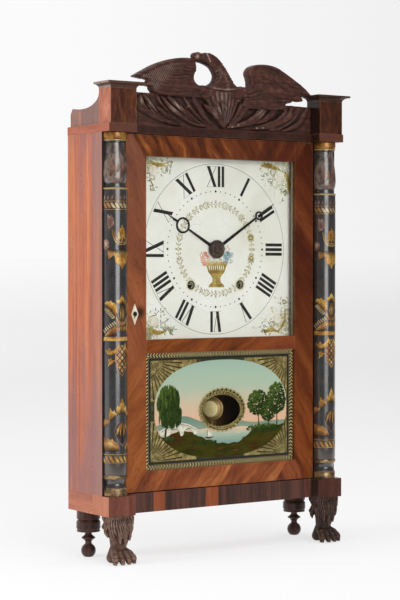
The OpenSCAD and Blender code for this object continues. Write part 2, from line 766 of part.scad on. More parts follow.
// The strip verge, its arbor, and the crutch that holds the pendulum rod in its fork
module verge() {
    y = [90, 93];
    stop = escape_r + 1.9;
    tip = [stop * sin(verge_span), stop * cos(verge_span) + escape_at[1]];
    crutch_z = verge_at[1] - 17;
    crutch_y = 57.8;
    arm = [[0, 3.4], [7, 2.6], [tip[0] + 1.4, tip[1] - verge_at[1] + 3.5],
        [tip[0] + 0.6, tip[1] - verge_at[1]], [tip[0] - 0.9, tip[1] - verge_at[1] + 1],
        [tip[0] - 1, tip[1] - verge_at[1] + 3], [6, -1.2], [0, -1.6]];
    color(iron) centred() {
        board(y[0], y[1]) translate(verge_at) {
            polygon(arm);
            mirror([1, 0]) polygon(arm);
        }
        arbor(verge_at, 1.5);
        bar(verge_at, 1.2, crutch_y - 1, front_plate_y[0] + 1);
        wire(verge_at, [0, crutch_z], crutch_y, 0.7);
        board(crutch_y - 0.7, crutch_y + 0.7) translate([0, crutch_z]) square([4.4, 1.4], center = true);
        for (s = [-1, 1]) bar([1.5 * s, crutch_z], 0.6, rod_y - 1.4, crutch_y);
    }
}

// The wire rod hangs on the cock's pin and bows round the hands' pipes
module pendulum_rod() {
    bow_r = 10.7;
    r = 0.8;
    nut_z = bob_z - 22;
    color(brass) centred() {
        difference() {
            bar(verge_at, 2.4, rod_y - r, rod_y + r);
            bar(verge_at, 1 + run, rod_y - 2, rod_y + 2);
        }
        wire([0, verge_at[1] - 1.8], [0, hand_z + bow_r], rod_y, r);
        translate([0, rod_y, hand_z]) rotate([90, 0, 0]) rotate([0, 0, -90])
            rotate_extrude(angle = 180) translate([bow_r, 0]) circle(r = r);
        wire([0, hand_z - bow_r], [0, nut_z], rod_y, r);
        translate([0, rod_y, nut_z - 3]) cylinder(r = 3, h = 3.5);
    }
}

// A domed brass bob, which hangs turned on its wire
module pendulum_bob() {
    color(brass) centred() difference() {
        translate([0, rod_y, bob_z]) rotate([0, 0, -58]) rotate([90, 0, 0]) rotate_extrude()
            polygon(concat([[0, -4.5], [17.4, -4.5], [18.2, -3.7], [18.2, -2.3], [17.4, -1.5],
                [16, -1.5], [16, 2.5]], [for (i = [1:6]) [16 * cos(15 * i), 2.5 + 5.5 * sin(15 * i)]]));
        translate([0, rod_y, bob_z - 30]) cylinder(r = 0.8 + run, h = 60);
    }
}

module strike_fly() {
    p = mirrored(third_at);
    color(cherry) centred() {
        arbor(p, 2);
        pinion(p, third_leaves, second_module, 75, 81, angle_to(p, mirrored(second_at)));
        board(83, 88) translate(p) rotate(35) square([27, 1.6], center = true);
    }
}

// The bell hammer on its arbor, with the tail that the strike wheel lifts
module hammer() {
    head = [63.5, 566];
    tail = [48, 521];
    color(iron) centred() {
        arbor(hammer_at, 2);
        wire(hammer_at, head, bell_at[1], 1);
        wire(hammer_at, tail, bell_at[1], 1);
        translate([head[0] - 6.5, bell_at[1], head[1]]) rotate([0, 90, 0]) cylinder(r = 4.5, h = 13);
    }
}

// The minute pipe turns on the fixed stud
module minute_pipe() {
    color(brass) centred() difference() {
        union() {
            bar(hands, 3, 36.6, 59);
            board(57, 59.5) translate(hands)
                rotate(angle_to(hands, second_at) + 180 / minute_teeth)
                    polygon(toothed(minute_teeth, wheel_flank(minute_teeth, minute_module)));
        }
        bar(hands, 1.5 + run, 30, 66);
    }
}

// The hour wheel turns on the minute pipe
module hour_wheel() {
    color(cherry) centred() difference() {
        union() {
            bar(hands, 5, 38.2, 55);
            board(53.4, 55.4) translate(hands)
                rotate(angle_to(hands, second_at))
                    polygon(toothed(hour_teeth, wheel_flank(hour_teeth, hour_module)));
        }
        bar(hands, 3 + run, 30, 66);
    }
}

// A tapered hand with a pierced ring before its tip, drawn along +X
module hand_outline(ring_at, ring_r, hole_r, reach, eye_r) {
    difference() {
        union() {
            circle(r = eye_r + 4);
            polygon([[eye_r, -2.7], [ring_at - ring_r + 1, -1.4], [ring_at - ring_r + 1, 1.4], [eye_r, 2.7]]);
            translate([ring_at, 0]) circle(r = ring_r);
            polygon([[ring_at + ring_r - 1, -2], [reach - 14, -1.3], [reach, 0], [reach - 14, 1.3],
                [ring_at + ring_r - 1, 2]]);
        }
        translate([ring_at, 0]) circle(r = hole_r);
        circle(r = eye_r);
    }
}

module hour_hand() {
    color(blued) centred() board(38.2, 39.2) translate(hands) rotate(149.5)
        hand_outline(72, 12.5, 9.6, 106, 5);
}

module minute_hand() {
    color(blued) centred() board(36.6, 37.6) translate(hands) rotate(33.1)
        hand_outline(98, 7, 4.6, 134, 3);
}

// The turned collar that holds the hands, with its bone washer
module hand_collar() {
    color(dark_carving) centred() translate([0, 0, hand_z]) rotate([-90, 0, 0]) rotate_extrude()
        polygon([[1.5 + run, 28], [4.7, 28], [4.7, 28.6], [6.4, 29], [8.6, 30.6], [9.4, 31.8],
            [11.5, 32.6], [13.6, 34], [14.6, 35.6], [14.4, 36.6], [1.5 + run, 36.6]]);
}

// One cast weight with its hanging eye
module weight() {
    translate([weight_at[0], weight_at[1], 0]) rotate_extrude()
        polygon([[0, weight_z[0]], [weight_r - 1.5, weight_z[0]], [weight_r, weight_z[0] + 1.5],
            [weight_r, weight_z[1] - 3], [weight_r - 3, weight_z[1]], [3, weight_z[1] + 2],
            [2.4, eye_z - 5], [4, eye_z - 4], [4, eye_z - 1], [2, eye_z], [0, eye_z]]);
}

module strike_weight() { color(iron) centred() weight(); }
module time_weight() { color(iron) centred() mirror([1, 0, 0]) weight(); }

// The cord: windings on the drum, the run up to the pulley, over it, and down to the weight
module cord() {
    d = [wind_x, wind_z];
    way = pulley_at - d;
    far = norm(way);
    u = way / far;
    k = 2 * cord_wrap_r / far;
    n = k * u + sqrt(1 - k * k) * [u[1], -u[0]];
    from = d + cord_wrap_r * n;
    to = pulley_at - cord_wrap_r * n;
    color("#c9b88f") centred() {
        difference() {
            bar(d, cord_wrap_r + cord_r, 78, 92);
            bar(d, cord_wrap_r - cord_r, 77, 93);
        }
        wire(from, to, cord_y, cord_r);
        translate([pulley_at[0], cord_y, pulley_at[1]]) rotate([90, 0, 0])
            rotate_extrude(angle = angle_to([0, 0], -n)) translate([cord_wrap_r, 0]) circle(r = cord_r);
        translate([weight_at[0], cord_y, eye_z]) cylinder(r = cord_r, h = pulley_at[1] - eye_z);
    }
}

module strike_cord() { cord(); }
module time_cord() { mirror([1, 0, 0]) cord(); }

side_panels();
front_stiles();
half_columns();
bottom_board();
base_rail_front();
base_sides();
base_blocks();
paw_feet();
rear_feet();
top_board();
back_board();
corner_blocks();
block_caps();
gallery_returns();
eagle_splat();
door_pivot_pins();
dial_panel();
door_stile_lock();
door_stile_hinge();
door_top_rail();
door_mid_rail();
door_bottom_rail();
upper_glass();
lower_tablet();
glass_beads();
key_escutcheon();
door_lock();
lock_bolt();
pivot_plates();
movement_plate_front();
movement_plate_back();
movement_pillars();
movement_battens();
front_plate_studs();
bell();
time_pulley();
strike_pulley();
pulley_brackets();
time_great_wheel();
time_drum();
time_second_wheel();
time_third_wheel();
escape_wheel();
verge();
pendulum_rod();
pendulum_bob();
strike_great_wheel();
strike_drum();
strike_second_wheel();
strike_fly();
hammer();
minute_pipe();
hour_wheel();
hour_hand();
minute_hand();
hand_collar();
time_weight();
strike_weight();
time_cord();
strike_cord();
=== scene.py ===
import bpy
import bmesh
import math
import numpy as np
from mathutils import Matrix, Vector
from mathutils.geometry import tessellate_polygon


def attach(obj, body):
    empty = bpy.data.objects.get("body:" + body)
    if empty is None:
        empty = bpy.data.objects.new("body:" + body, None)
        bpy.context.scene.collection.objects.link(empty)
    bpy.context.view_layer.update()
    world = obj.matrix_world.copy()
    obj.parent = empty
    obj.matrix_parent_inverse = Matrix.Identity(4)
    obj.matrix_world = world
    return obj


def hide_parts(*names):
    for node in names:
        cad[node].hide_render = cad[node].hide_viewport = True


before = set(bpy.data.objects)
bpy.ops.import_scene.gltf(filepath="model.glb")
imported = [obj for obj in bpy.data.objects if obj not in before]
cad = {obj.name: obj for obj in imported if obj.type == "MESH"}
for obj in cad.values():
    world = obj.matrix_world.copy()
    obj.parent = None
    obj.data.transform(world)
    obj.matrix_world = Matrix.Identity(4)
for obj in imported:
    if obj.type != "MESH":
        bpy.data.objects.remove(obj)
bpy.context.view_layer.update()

# ---------------------------------------------------------------------------------------------
# The room: a camera at the left of the clock's front, a pale floor that runs into a pale wall,
# a broad soft window at the left, a tall soft box near the camera and a soft ceiling.
# ---------------------------------------------------------------------------------------------
scene = bpy.context.scene
scene.view_settings.view_transform = "Standard"

camera = bpy.data.objects.new("camera", bpy.data.cameras.new("camera"))
camera.data.sensor_width = 36
camera.data.lens = 107.7
camera.data.clip_end = 100
camera.location = (-1.6075, -2.30485, 0.4436)
camera.rotation_euler = (math.radians(90 - 1.09), 0, math.radians(-34.55))
scene.collection.objects.link(camera)
scene.camera = camera


def tone(code):
    """A painter's colour, given as six hexadecimal digits, in linear light."""
    parts = [int(code[i:i + 2], 16) / 255 for i in (0, 2, 4)]
    return [c / 12.92 if c <= 0.04045 else ((c + 0.055) / 1.055) ** 2.4 for c in parts] + [1]


def put(tree, kind, feeds=None, **settings):
    """Adds a node. Each feed is a plain value or the socket of another node."""
    made = tree.nodes.new(kind if kind.startswith("GeometryNode") else "ShaderNode" + kind)
    for name, value in settings.items():
        setattr(made, name, value)
    for name, value in (feeds or {}).items():
        if isinstance(value, bpy.types.NodeSocket):
            tree.links.new(value, made.inputs[name])
        else:
            made.inputs[name].default_value = value
    return made


def finish(name, **values):
    """A new material with a Principled shader, and its tree."""
    made = bpy.data.materials.new(name)
    made.use_nodes = True
    tree = made.node_tree
    tree.nodes.clear()
    shader = put(tree, "BsdfPrincipled", {k.replace("_", " "): v for k, v in values.items()})
    out = put(tree, "OutputMaterial")
    tree.links.new(shader.outputs[0], out.inputs[0])
    return made, tree, shader


def place_of(tree):
    return put(tree, "TexCoord").outputs["Object"]


def turned(tree, vector, rotation=(0, 0, 0), scale=(1, 1, 1), location=(0, 0, 0)):
    feeds = {"Vector": vector, "Rotation": rotation, "Scale": scale, "Location": location}
    return put(tree, "Mapping", feeds).outputs[0]


def sums(tree, operation, a, b=0.0, c=0.0):
    return put(tree, "Math", {0: a, 1: b, 2: c}, operation=operation).outputs[0]


def times(tree, a, b):
    return sums(tree, "MULTIPLY", a, b)


def plus(tree, a, b):
    return sums(tree, "ADD", a, b)


def less(tree, a, b):
    return sums(tree, "SUBTRACT", a, b)


def most(tree, a, b):
    return sums(tree, "MAXIMUM", a, b)


def parts_of(tree, vector=None):
    """The three coordinates of a place on the object, or of another vector."""
    vector = place_of(tree) if vector is None else vector
    return put(tree, "SeparateXYZ", {0: vector}).outputs


def speckle(tree, vector, scale, detail=3, roughness=0.5, distortion=0):
    feeds = {"Vector": vector, "Scale": scale, "Detail": detail, "Roughness": roughness,
             "Distortion": distortion}
    return put(tree, "TexNoise", feeds).outputs["Fac"]


def ramp(tree, fac, stops):
    made = put(tree, "ValToRGB", {"Fac": fac})
    while len(made.color_ramp.elements) < len(stops):
        made.color_ramp.elements.new(0.5)
    for element, (position, colour) in zip(made.color_ramp.elements, stops):
        element.position = position
        element.color = tone(colour)
    return made.outputs["Color"]


def spread(tree, value, low, high, to_low=0.0, to_high=1.0):
    feeds = {"Value": value, "From Min": low, "From Max": high, "To Min": to_low, "To Max": to_high}
    return put(tree, "MapRange", feeds).outputs[0]


def over(tree, fac, under, top, mode="MIX"):
    made = put(tree, "Mix", {0: fac, 6: under, 7: top}, data_type="RGBA", blend_type=mode)
    return made.outputs[2]


def raised(tree, height, strength, distance):
    feeds = {"Height": height, "Strength": strength, "Distance": distance}
    return put(tree, "Bump", feeds).outputs[0]


def surface(shader, colour, rough, normal):
    """Joins a Principled shader's colour, roughness and normal."""
    for name, value in (("Base Color", colour), ("Roughness", rough), ("Normal", normal)):
        shader.id_data.links.new(value, shader.inputs[name])


def lamp(name, at, aim, width, height, watts):
    light = bpy.data.lights.new(name, "AREA")
    light.shape = "RECTANGLE"
    light.size, light.size_y, light.energy = width, height, watts
    holder = bpy.data.objects.new(name, light)
    holder.location = at
    way = Vector(aim) - Vector(at)
    holder.rotation_euler = way.to_track_quat("-Z", "Y").to_euler()
    scene.collection.objects.link(holder)
    return holder


lamp("window", (-2.9, 0.3, 1.1), (0, 0, 0.4), 1.6, 2.2, 57).visible_glossy = False
lamp("soft_box", (-0.35, -3.2, 1.0), (0, 0, 0.4), 2.0, 2.2, 46)
lamp("ceiling", (0.2, -0.6, 3.0), (0, 0, 0.4), 2.4, 2.4, 24)

floor_mesh = bpy.data.meshes.new("floor")
sweep = [(-6, 0)] + [(4 + 2 * math.sin(a), 2 - 2 * math.cos(a))
                     for a in np.linspace(0, math.pi / 2, 24)] + [(6, 9)]
corners = [(x, y, z) for y, z in sweep for x in (-9, 9)]
floor_mesh.from_pydata(corners, [], [(2 * i, 2 * i + 1, 2 * i + 3, 2 * i + 2)
                                     for i in range(len(sweep) - 1)])
floor = bpy.data.objects.new("floor", floor_mesh)
scene.collection.objects.link(floor)

paper = bpy.data.materials.new("paper sweep")
paper.use_nodes = True
tree = paper.node_tree
tree.nodes.clear()
where = parts_of(tree)
# Painted light: the paper's glow is stronger to the left, towards the window, and on the floor.
across = less(tree, times(tree, where["X"], 0.82), times(tree, where["Y"], 0.57))
glow = plus(tree, spread(tree, across, -0.95, 1.05, 1.10, 1.0),
            spread(tree, where["Z"], 0.0, 0.2, 0.1, 0.0))
path = put(tree, "LightPath")
# The room beyond the paper is dim, so what stands in front is not mirrored white
dim = times(tree, path.outputs["Is Glossy Ray"], spread(tree, where["Y"], -0.1, -0.6, 0, 0.75))
matte = put(tree, "BsdfDiffuse", {"Color": over(tree, dim, (0.87, 0.87, 0.875, 1), (0, 0, 0, 1))})
glow = times(tree, glow, less(tree, 1.0, dim))
bare = put(tree, "Emission", {"Color": (0.965, 0.965, 0.97, 1), "Strength": glow})
shown = most(tree, path.outputs["Is Camera Ray"],
             most(tree, path.outputs["Is Glossy Ray"], path.outputs["Is Transmission Ray"]))
level = spread(tree, where["Z"], 0.0, 0.5, 0.6, 0.85)
share = put(tree, "MixShader", {0: times(tree, shown, level), 1: matte.outputs[0],
                                2: bare.outputs[0]})
out = put(tree, "OutputMaterial")
tree.links.new(share.outputs[0], out.inputs[0])
floor_mesh.materials.append(paper)

world = bpy.data.worlds.new("studio")
world.use_nodes = True
scene.world = world
tree = world.node_tree
air = tree.nodes["Background"]
air.inputs["Color"].default_value = (1, 1, 1, 1)
glossy = put(tree, "LightPath").outputs["Is Glossy Ray"]
tree.links.new(spread(tree, glossy, 0, 1, 0.40, 0.16), air.inputs["Strength"])

# ---------------------------------------------------------------------------------------------
# The base: two solid blocks under the columns, a recessed rail between them veneered across
# its length, plain sides, and a pine bottom board. Mahogany under old shellac, glued.
# ---------------------------------------------------------------------------------------------
def sockets(tree, side, kinds):
    for name, kind, value in kinds:
        made = tree.interface.new_socket(name, in_out=side, socket_type="NodeSocket" + kind)
        if value is not None:
            made.default_value = value


def grain_effect():
    """Sawn wood whose grain runs along Z: broad bands, streaks, and short dark pores."""
    tree = bpy.data.node_groups.new("sawn grain", "ShaderNodeTree")
    sockets(tree, "INPUT", [("Vector", "Vector", None), ("Bands", "Float", 30.0),
                            ("Streaks", "Float", 160.0), ("Pores", "Float", 1100.0),
                            ("Stretch", "Float", 0.05)])
    sockets(tree, "OUTPUT", [("Band", "Float", None), ("Streak", "Float", None),
                             ("Pore", "Float", None)])
    given = tree.nodes.new("NodeGroupInput").outputs
    taken = tree.nodes.new("NodeGroupOutput").inputs
    drawn = put(tree, "CombineXYZ", {0: 1.0, 1: 1.0, 2: given["Stretch"]}).outputs[0]
    along = put(tree, "VectorMath", {0: given["Vector"], 1: drawn}, operation="MULTIPLY").outputs[0]
    tree.links.new(speckle(tree, along, given["Bands"], 2, 0.5, 0.7), taken["Band"])
    tree.links.new(speckle(tree, along, given["Streaks"], 5, 0.65, 0.25), taken["Streak"])
    fine = speckle(tree, along, given["Pores"], 2, 0.6)
    tree.links.new(spread(tree, fine, 0.54, 0.7), taken["Pore"])
    return tree


def edge_effect():
    """Where a hard edge has been rubbed: 0 on the flat, up to 1 along an edge, broken by noise."""
    tree = bpy.data.node_groups.new("rubbed edge", "ShaderNodeTree")
    sockets(tree, "INPUT", [("Vector", "Vector", None), ("Width", "Float", 0.0016)])
    sockets(tree, "OUTPUT", [("Edge", "Float", None)])
    given = tree.nodes.new("NodeGroupInput").outputs
    taken = tree.nodes.new("NodeGroupOutput").inputs
    soft = put(tree, "Bevel", {"Radius": given["Width"]}, samples=4).outputs[0]
    flat = put(tree, "NewGeometry").outputs["True Normal"]
    same = put(tree, "VectorMath", {0: soft, 1: flat}, operation="DOT_PRODUCT").outputs["Value"]
    turn = spread(tree, same, 0.998, 0.86)
    rub = spread(tree, speckle(tree, given["Vector"], 90, 4, 0.6), 0.38, 0.62, 0.25, 1)
    tree.links.new(times(tree, turn, rub), taken["Edge"])
    return tree


sawn_grain = grain_effect()
rubbed_edge = edge_effect()


def grain(tree, vector, bands=30.0, streaks=160.0, pores=1100.0, stretch=0.05):
    made = tree.nodes.new("ShaderNodeGroup")
    made.node_tree = sawn_grain
    tree.links.new(vector, made.inputs["Vector"])
    for name, value in zip(("Bands", "Streaks", "Pores", "Stretch"),
                           (bands, streaks, pores, stretch)):
        made.inputs[name].default_value = value
    return made.outputs


def rubbed(tree, width=0.0016):
    made = tree.nodes.new("ShaderNodeGroup")
    made.node_tree = rubbed_edge
    tree.links.new(place_of(tree), made.inputs["Vector"])
    made.inputs["Width"].default_value = width
    return made.outputs["Edge"]


def facing(tree, axis):
    """1 on the faces that look along an axis, either way."""
    normal = put(tree, "NewGeometry").outputs["True Normal"]
    part = parts_of(tree, normal)[axis]
    return sums(tree, "GREATER_THAN", sums(tree, "ABSOLUTE", part), 0.7)


def on_the_left(tree):
    """1 left of the middle of the clock."""
    return sums(tree, "LESS_THAN", parts_of(tree)["X"], 0.0)


def shellacked(name, stops, rotation=(0, 0, 0), bands=30.0, streaks=160.0, stretch=0.05,
               mix=0.5, worn="A87C5E", gloss=0.32, coat=0.2, pore=0.45, dim=0.0, flank=None,
               far=None, veil=None):
    """Solid wood with a worn shellac film. The stops run from the darkest to the lightest. On the
    faces that look left or right, the flank's stops colour the left half of the clock, and far is
    painted shade on the right half. Dim darkens the wood towards the right as painted shade. The
    veil clouds the film."""
    made, tree, shader = finish(name, Specular_IOR_Level=0.2, Coat_Weight=0.5 * coat,
                                Coat_Roughness=0.16, Coat_IOR=1.5)
    where = turned(tree, place_of(tree), rotation)
    wood = grain(tree, where, bands, streaks, 1100.0, stretch)
    both = plus(tree, times(tree, wood["Band"], 1 - mix), times(tree, wood["Streak"], mix))
    colour = ramp(tree, spread(tree, both, 0.3, 0.7), stops)
    if flank:
        side = ramp(tree, spread(tree, both, 0.3, 0.7), flank)
        # Painted shade: in the right half of the clock these faces take the far colour.
        if far:
            side = over(tree, on_the_left(tree), tone(far), side)
        colour = over(tree, facing(tree, "X"), colour, side)
    if veil:
        haze = speckle(tree, turned(tree, place_of(tree), scale=(1, 1, 0.09)), 46, 3, 0.55)
        height = parts_of(tree)["Z"]
        ends = spread(tree, sums(tree, "ABSOLUTE", less(tree, height, 0.42)),
                      0.08, 0.26, -0.1, 0.13)
        haze = spread(tree, plus(tree, haze, ends), 0.45, 0.62, 0.0, 0.8)
        colour = over(tree, haze, colour, tone(veil))
    dark = times(tree, wood["Pore"], pore)
    colour = over(tree, dark, colour, tone("2A130C"), "MULTIPLY")
    # Painted shade: the wood darkens towards the right of the clock.
    if dim:
        across = parts_of(tree)["X"]
        away = times(tree, spread(tree, across, -0.17, 0.17), dim)
        colour = over(tree, away, colour, tone("1C0D08"))
    colour = over(tree, times(tree, rubbed(tree), 0.5), colour, tone(worn))
    cloud = speckle(tree, where, 26, 4, 0.6)
    relief = less(tree, times(tree, wood["Streak"], 0.6), wood["Pore"])
    surface(shader, colour, spread(tree, cloud, 0.3, 0.7, gloss - 0.08, gloss + 0.12),
            raised(tree, relief, 0.25, 0.0001))
    return made


def repainted(material, mask, code):
    """Lays another colour over part of a material."""
    tree = material.node_tree
    shader = next(node for node in tree.nodes if node.type == "BSDF_PRINCIPLED")
    old = shader.inputs["Base Color"].links[0].from_socket
    tree.links.new(over(tree, mask(tree), old, tone(code)), shader.inputs["Base Color"])
    return material


def dress(material, *names):
    for name in names:
        cad[name].data.materials.clear()
        cad[name].data.materials.append(material)


QUARTER = math.radians(90)
side_wood = [(0, "7C5048"), (0.3, "9A5A4A"), (0.55, "B86A48"), (1, "CC8058")]
block_wood = [(0, "4A241D"), (0.4, "66382E"), (0.7, "7A483B"), (1, "885A4A")]
base_flank = [(0, "7E4A3C"), (0.35, "A0604A"), (0.6, "B26C50"), (1, "BC7C60")]
dress(shellacked("base_side_mahogany", base_flank, (QUARTER, 0, 0), 22, 120, 0.06), "base_sides")
# The far colour and dim paint shade on the right-hand block.
dress(shellacked("block_mahogany", block_wood, (0, 0, 0), 20, 120, 0.12, dim=0.55, worn="7E5644",
                 flank=base_flank, far="4C3833"), "base_blocks")

# A dark strip with two lighter pieces let in, each laid with its grain upright
rail_veneer, tree, shader = finish("base_rail_veneer", Specular_IOR_Level=0.2,
                                   Coat_Weight=0.12, Coat_Roughness=0.18)
where = place_of(tree)
wood = grain(tree, where, 55, 260, 1200, 0.03)
both = plus(tree, times(tree, wood["Band"], 0.6), times(tree, wood["Streak"], 0.4))
dark = ramp(tree, spread(tree, both, 0.32, 0.68),
            [(0, "33201C"), (0.4, "4A322B"), (0.65, "5C3B32"), (1, "6C4035")])
light = ramp(tree, spread(tree, both, 0.3, 0.7), [(0, "7A3E22"), (0.5, "955030"), (1, "A8623C")])
across = parts_of(tree, where)["X"]
inlaid = most(tree, sums(tree, "COMPARE", across, -0.1186, 0.0104),
              sums(tree, "COMPARE", across, -0.0214, 0.0122))
colour = over(tree, inlaid, dark, light)
colour = over(tree, times(tree, wood["Pore"], 0.5), colour, tone("2A130C"), "MULTIPLY")
colour = over(tree, times(tree, rubbed(tree), 0.35), colour, tone("8A6250"))
surface(shader, colour, spread(tree, speckle(tree, where, 30, 4), 0.3, 0.7, 0.26, 0.44),
        raised(tree, wood["Streak"], 0.2, 0.0001))
dress(rail_veneer, "base_rail_front")

pine = shellacked("bare_pine", [(0, "8A6238"), (0.5, "B58A58"), (1, "C9A270")], (0, QUARTER, 0),
                  26, 140, 0.04, worn="D0B080", gloss=0.6, coat=0.0, pore=0.2)
dress(pine, "bottom_board")

# ---------------------------------------------------------------------------------------------
# The case: two mahogany sides, a pine backboard, ebonised face stiles behind the columns, and
# a top board with its square corner blocks, moulded caps and swept gallery returns.
# ---------------------------------------------------------------------------------------------
side = shellacked("side_mahogany", side_wood, (0, 0, 0), 66, 190, 0.025, 0.3, veil="8C6260")


def by_the_front(tree):
    """Rises towards the front edge of the sides, where the film has gone grey."""
    return spread(tree, parts_of(tree)["Y"], 0.0, -0.03, 0, 0.45)


repainted(side, by_the_front, "94796E")
dress(repainted(side, lambda tree: facing(tree, "Y"), "20181A"), "side_panels")
dress(shellacked("backboard_pine", [(0, "5E4026"), (0.5, "8A6640"), (1, "A68456")], (0, 0, 0),
                 16, 90, 0.03, worn="B99A6C", gloss=0.62, coat=0.0, pore=0.3), "back_board")
dress(shellacked("stile_black", [(0, "14100F"), (0.6, "241B19"), (1, "342723")], (0, 0, 0),
                 30, 180, 0.03, worn="7A5C48", gloss=0.36, coat=0.3), "front_stiles")
# The top board, corner blocks and caps take far colours and dim as painted shade on the right.
top = shellacked("top_mahogany", [(0, "261410"), (0.4, "3A211B"), (0.75, "4A2E26"), (1, "573C32")],
                 (QUARTER, 0, 0), 20, 130, 0.08, dim=0.25, worn="8A6450",
                 flank=[(0, "7A4436"), (0.4, "9A5642"), (0.7, "AC634B"), (1, "B8755C")],
                 far="3A211B")


def under_the_blocks(tree):
    """The front edge under the corner blocks, lighter than it is under the splat."""
    across = parts_of(tree)["X"]
    out = spread(tree, sums(tree, "ABSOLUTE", across), 0.1712, 0.1732, 0, 0.6)
    return times(tree, out, facing(tree, "Y"))


dress(repainted(top, under_the_blocks, "6E4234"), "top_board")
dress(shellacked("corner_mahogany", [(0, "2A140E"), (0.35, "46251A"), (0.7, "643722"),
                                     (1, "784630")], (0, 0, 0), 60, 200, 0.3, dim=0.4,
                 flank=[(0, "704A42"), (0.3, "93594A"), (0.6, "B0694F"), (1, "C0866C")],
                 far="33201B"), "corner_blocks")
dress(shellacked("cap_mahogany", [(0, "31201B"), (0.5, "4C342B"), (1, "624539")],
                 (0, QUARTER, 0), 24, 150, 0.08, dim=0.5,
                 flank=[(0, "645049"), (0.5, "867168"), (1, "A28E84")], far="3C2620"),
      "block_caps")
dress(shellacked("gallery_mahogany", [(0, "64423A"), (0.45, "8A5C4C"), (1, "B07C66")],
                 (0, 0, 0), 70, 170, 0.08, veil="7E625C"), "gallery_returns")

# ---------------------------------------------------------------------------------------------
# The feet: two carved paws in front, four toes each under locks of hair, and two turned balls
# behind.
# ---------------------------------------------------------------------------------------------
FRONT = 0.05275


def spot(x, y, z):
    """A place in the case's millimetres: Y from the front of the base blocks, Z from the floor."""
    return (x / 1000, y / 1000 - FRONT, z / 1000)


def solid(name, points, faces, material, body, sharp=35, uv=None):
    """A mesh piece from points in metres, shaded smooth up to an edge angle, on its body."""
    mesh = bpy.data.meshes.new(name)
    mesh.from_pydata([tuple(p) for p in points], [], faces)
    if uv is not None:
        layer = mesh.uv_layers.new(name="mark")
        for loop in mesh.loops:
            layer.data[loop.index].uv = uv[loop.vertex_index]
    mesh.polygons.foreach_set("use_smooth", [True] * len(mesh.polygons))
    mesh.set_sharp_from_angle(angle=math.radians(sharp))
    mesh.materials.append(material)
    piece = bpy.data.objects.new(name, mesh)
    scene.collection.objects.link(piece)
    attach(piece, body)
    return piece


def carved(name, stops, pale, coat=0.12):
    """Carved wood gone dark. U of its map is how proud a place stands, painted pale there as wear
    and painted highlight; V is how deep it lies, painted dark there as shade.
    """
    made, tree, shader = finish(name, Specular_IOR_Level=0.22, Coat_Weight=coat,
                                Coat_Roughness=0.22)
    where = place_of(tree)
    mark = parts_of(tree, put(tree, "UVMap", uv_map="mark").outputs[0])
    wood = grain(tree, turned(tree, where, (0, QUARTER, 0)), 45, 240, 900, 0.12)
    dirt = speckle(tree, where, 130, 5, 0.65)
    level = plus(tree, times(tree, wood["Streak"], 0.5), times(tree, dirt, 0.5))
    colour = ramp(tree, spread(tree, level, 0.3, 0.7), stops)
    # Pale on proud places: wear and painted highlight.
    proud = times(tree, spread(tree, mark["X"], 0.54, 0.86),
                  spread(tree, dirt, 0.3, 0.62, 0.35, 1.0))
    colour = over(tree, times(tree, proud, 0.85), colour, tone(pale))
    # Painted shade: dark in the deep places.
    deep = spread(tree, mark["Y"], 0.5, 0.86)
    colour = over(tree, times(tree, deep, 0.85), colour, tone("150D0A"))
    surface(shader, colour, spread(tree, proud, 0, 1, 0.5, 0.36), raised(tree, level, 0.25, 0.0003))
    return made


def swollen(balls, fine=3):
    """The hull of several balls, in case millimetres."""
    lump = bmesh.new()
    for centre, radius in balls:
        made = bmesh.ops.create_icosphere(lump, subdivisions=fine, radius=radius)["verts"]
        bmesh.ops.translate(lump, verts=made, vec=centre)
    hull = bmesh.ops.convex_hull(lump, input=lump.verts)
    inner = {v for v in hull["geom_interior"] + hull["geom_unused"]
             if isinstance(v, bmesh.types.BMVert)}
    bmesh.ops.delete(lump, geom=list(inner), context="VERTS")
    return lump


def fused(lumps, voxel, smooth):
    """Joins closed lumps into one even skin."""
    mesh = bpy.data.meshes.new("skin")
    whole = bmesh.new()
    for lump in lumps:
        lump.to_mesh(mesh)
        whole.from_mesh(mesh)
        lump.free()
    whole.to_mesh(mesh)
    whole.free()
    holder = bpy.data.objects.new("skin", mesh)
    scene.collection.objects.link(holder)
    remesh = holder.modifiers.new("skin", "REMESH")
    remesh.mode, remesh.voxel_size = "VOXEL", voxel
    ease = holder.modifiers.new("ease", "SMOOTH")
    ease.iterations, ease.factor = smooth, 0.5
    made = bpy.data.meshes.new_from_object(
        holder.evaluated_get(bpy.context.evaluated_depsgraph_get()))
    bpy.data.objects.remove(holder)
    points = np.empty(len(made.vertices) * 3)
    made.vertices.foreach_get("co", points)
    faces = [tuple(f.vertices) for f in made.polygons]
    normals = np.empty(len(made.vertices) * 3)
    made.vertices.foreach_get("normal", normals)
    links = np.empty(len(made.edges) * 2, int)
    made.edges.foreach_get("vertices", links)
    bpy.data.meshes.remove(made)
    return points.reshape(-1, 3), faces, normals.reshape(-1, 3), links.reshape(-1, 2)


def stand_out(points, normals, links, rounds=4, gain=1.0):
    """How far each point stands proud of its neighbours, along its normal."""
    mean = points.copy()
    for _ in range(rounds):
        total, count = np.zeros_like(mean), np.zeros(len(mean))
        for a, b in ((0, 1), (1, 0)):
            np.add.at(total, links[:, a], mean[links[:, b]])
            np.add.at(count, links[:, a], 1)
        mean = total / count[:, None]
    return gain * ((points - mean) * normals).sum(1)


def valley(phase, sharp=2.0):
    """1 along the middle of each groove, 0 on the ridge between."""
    return (0.5 + 0.5 * np.cos(2 * np.pi * phase)) ** sharp


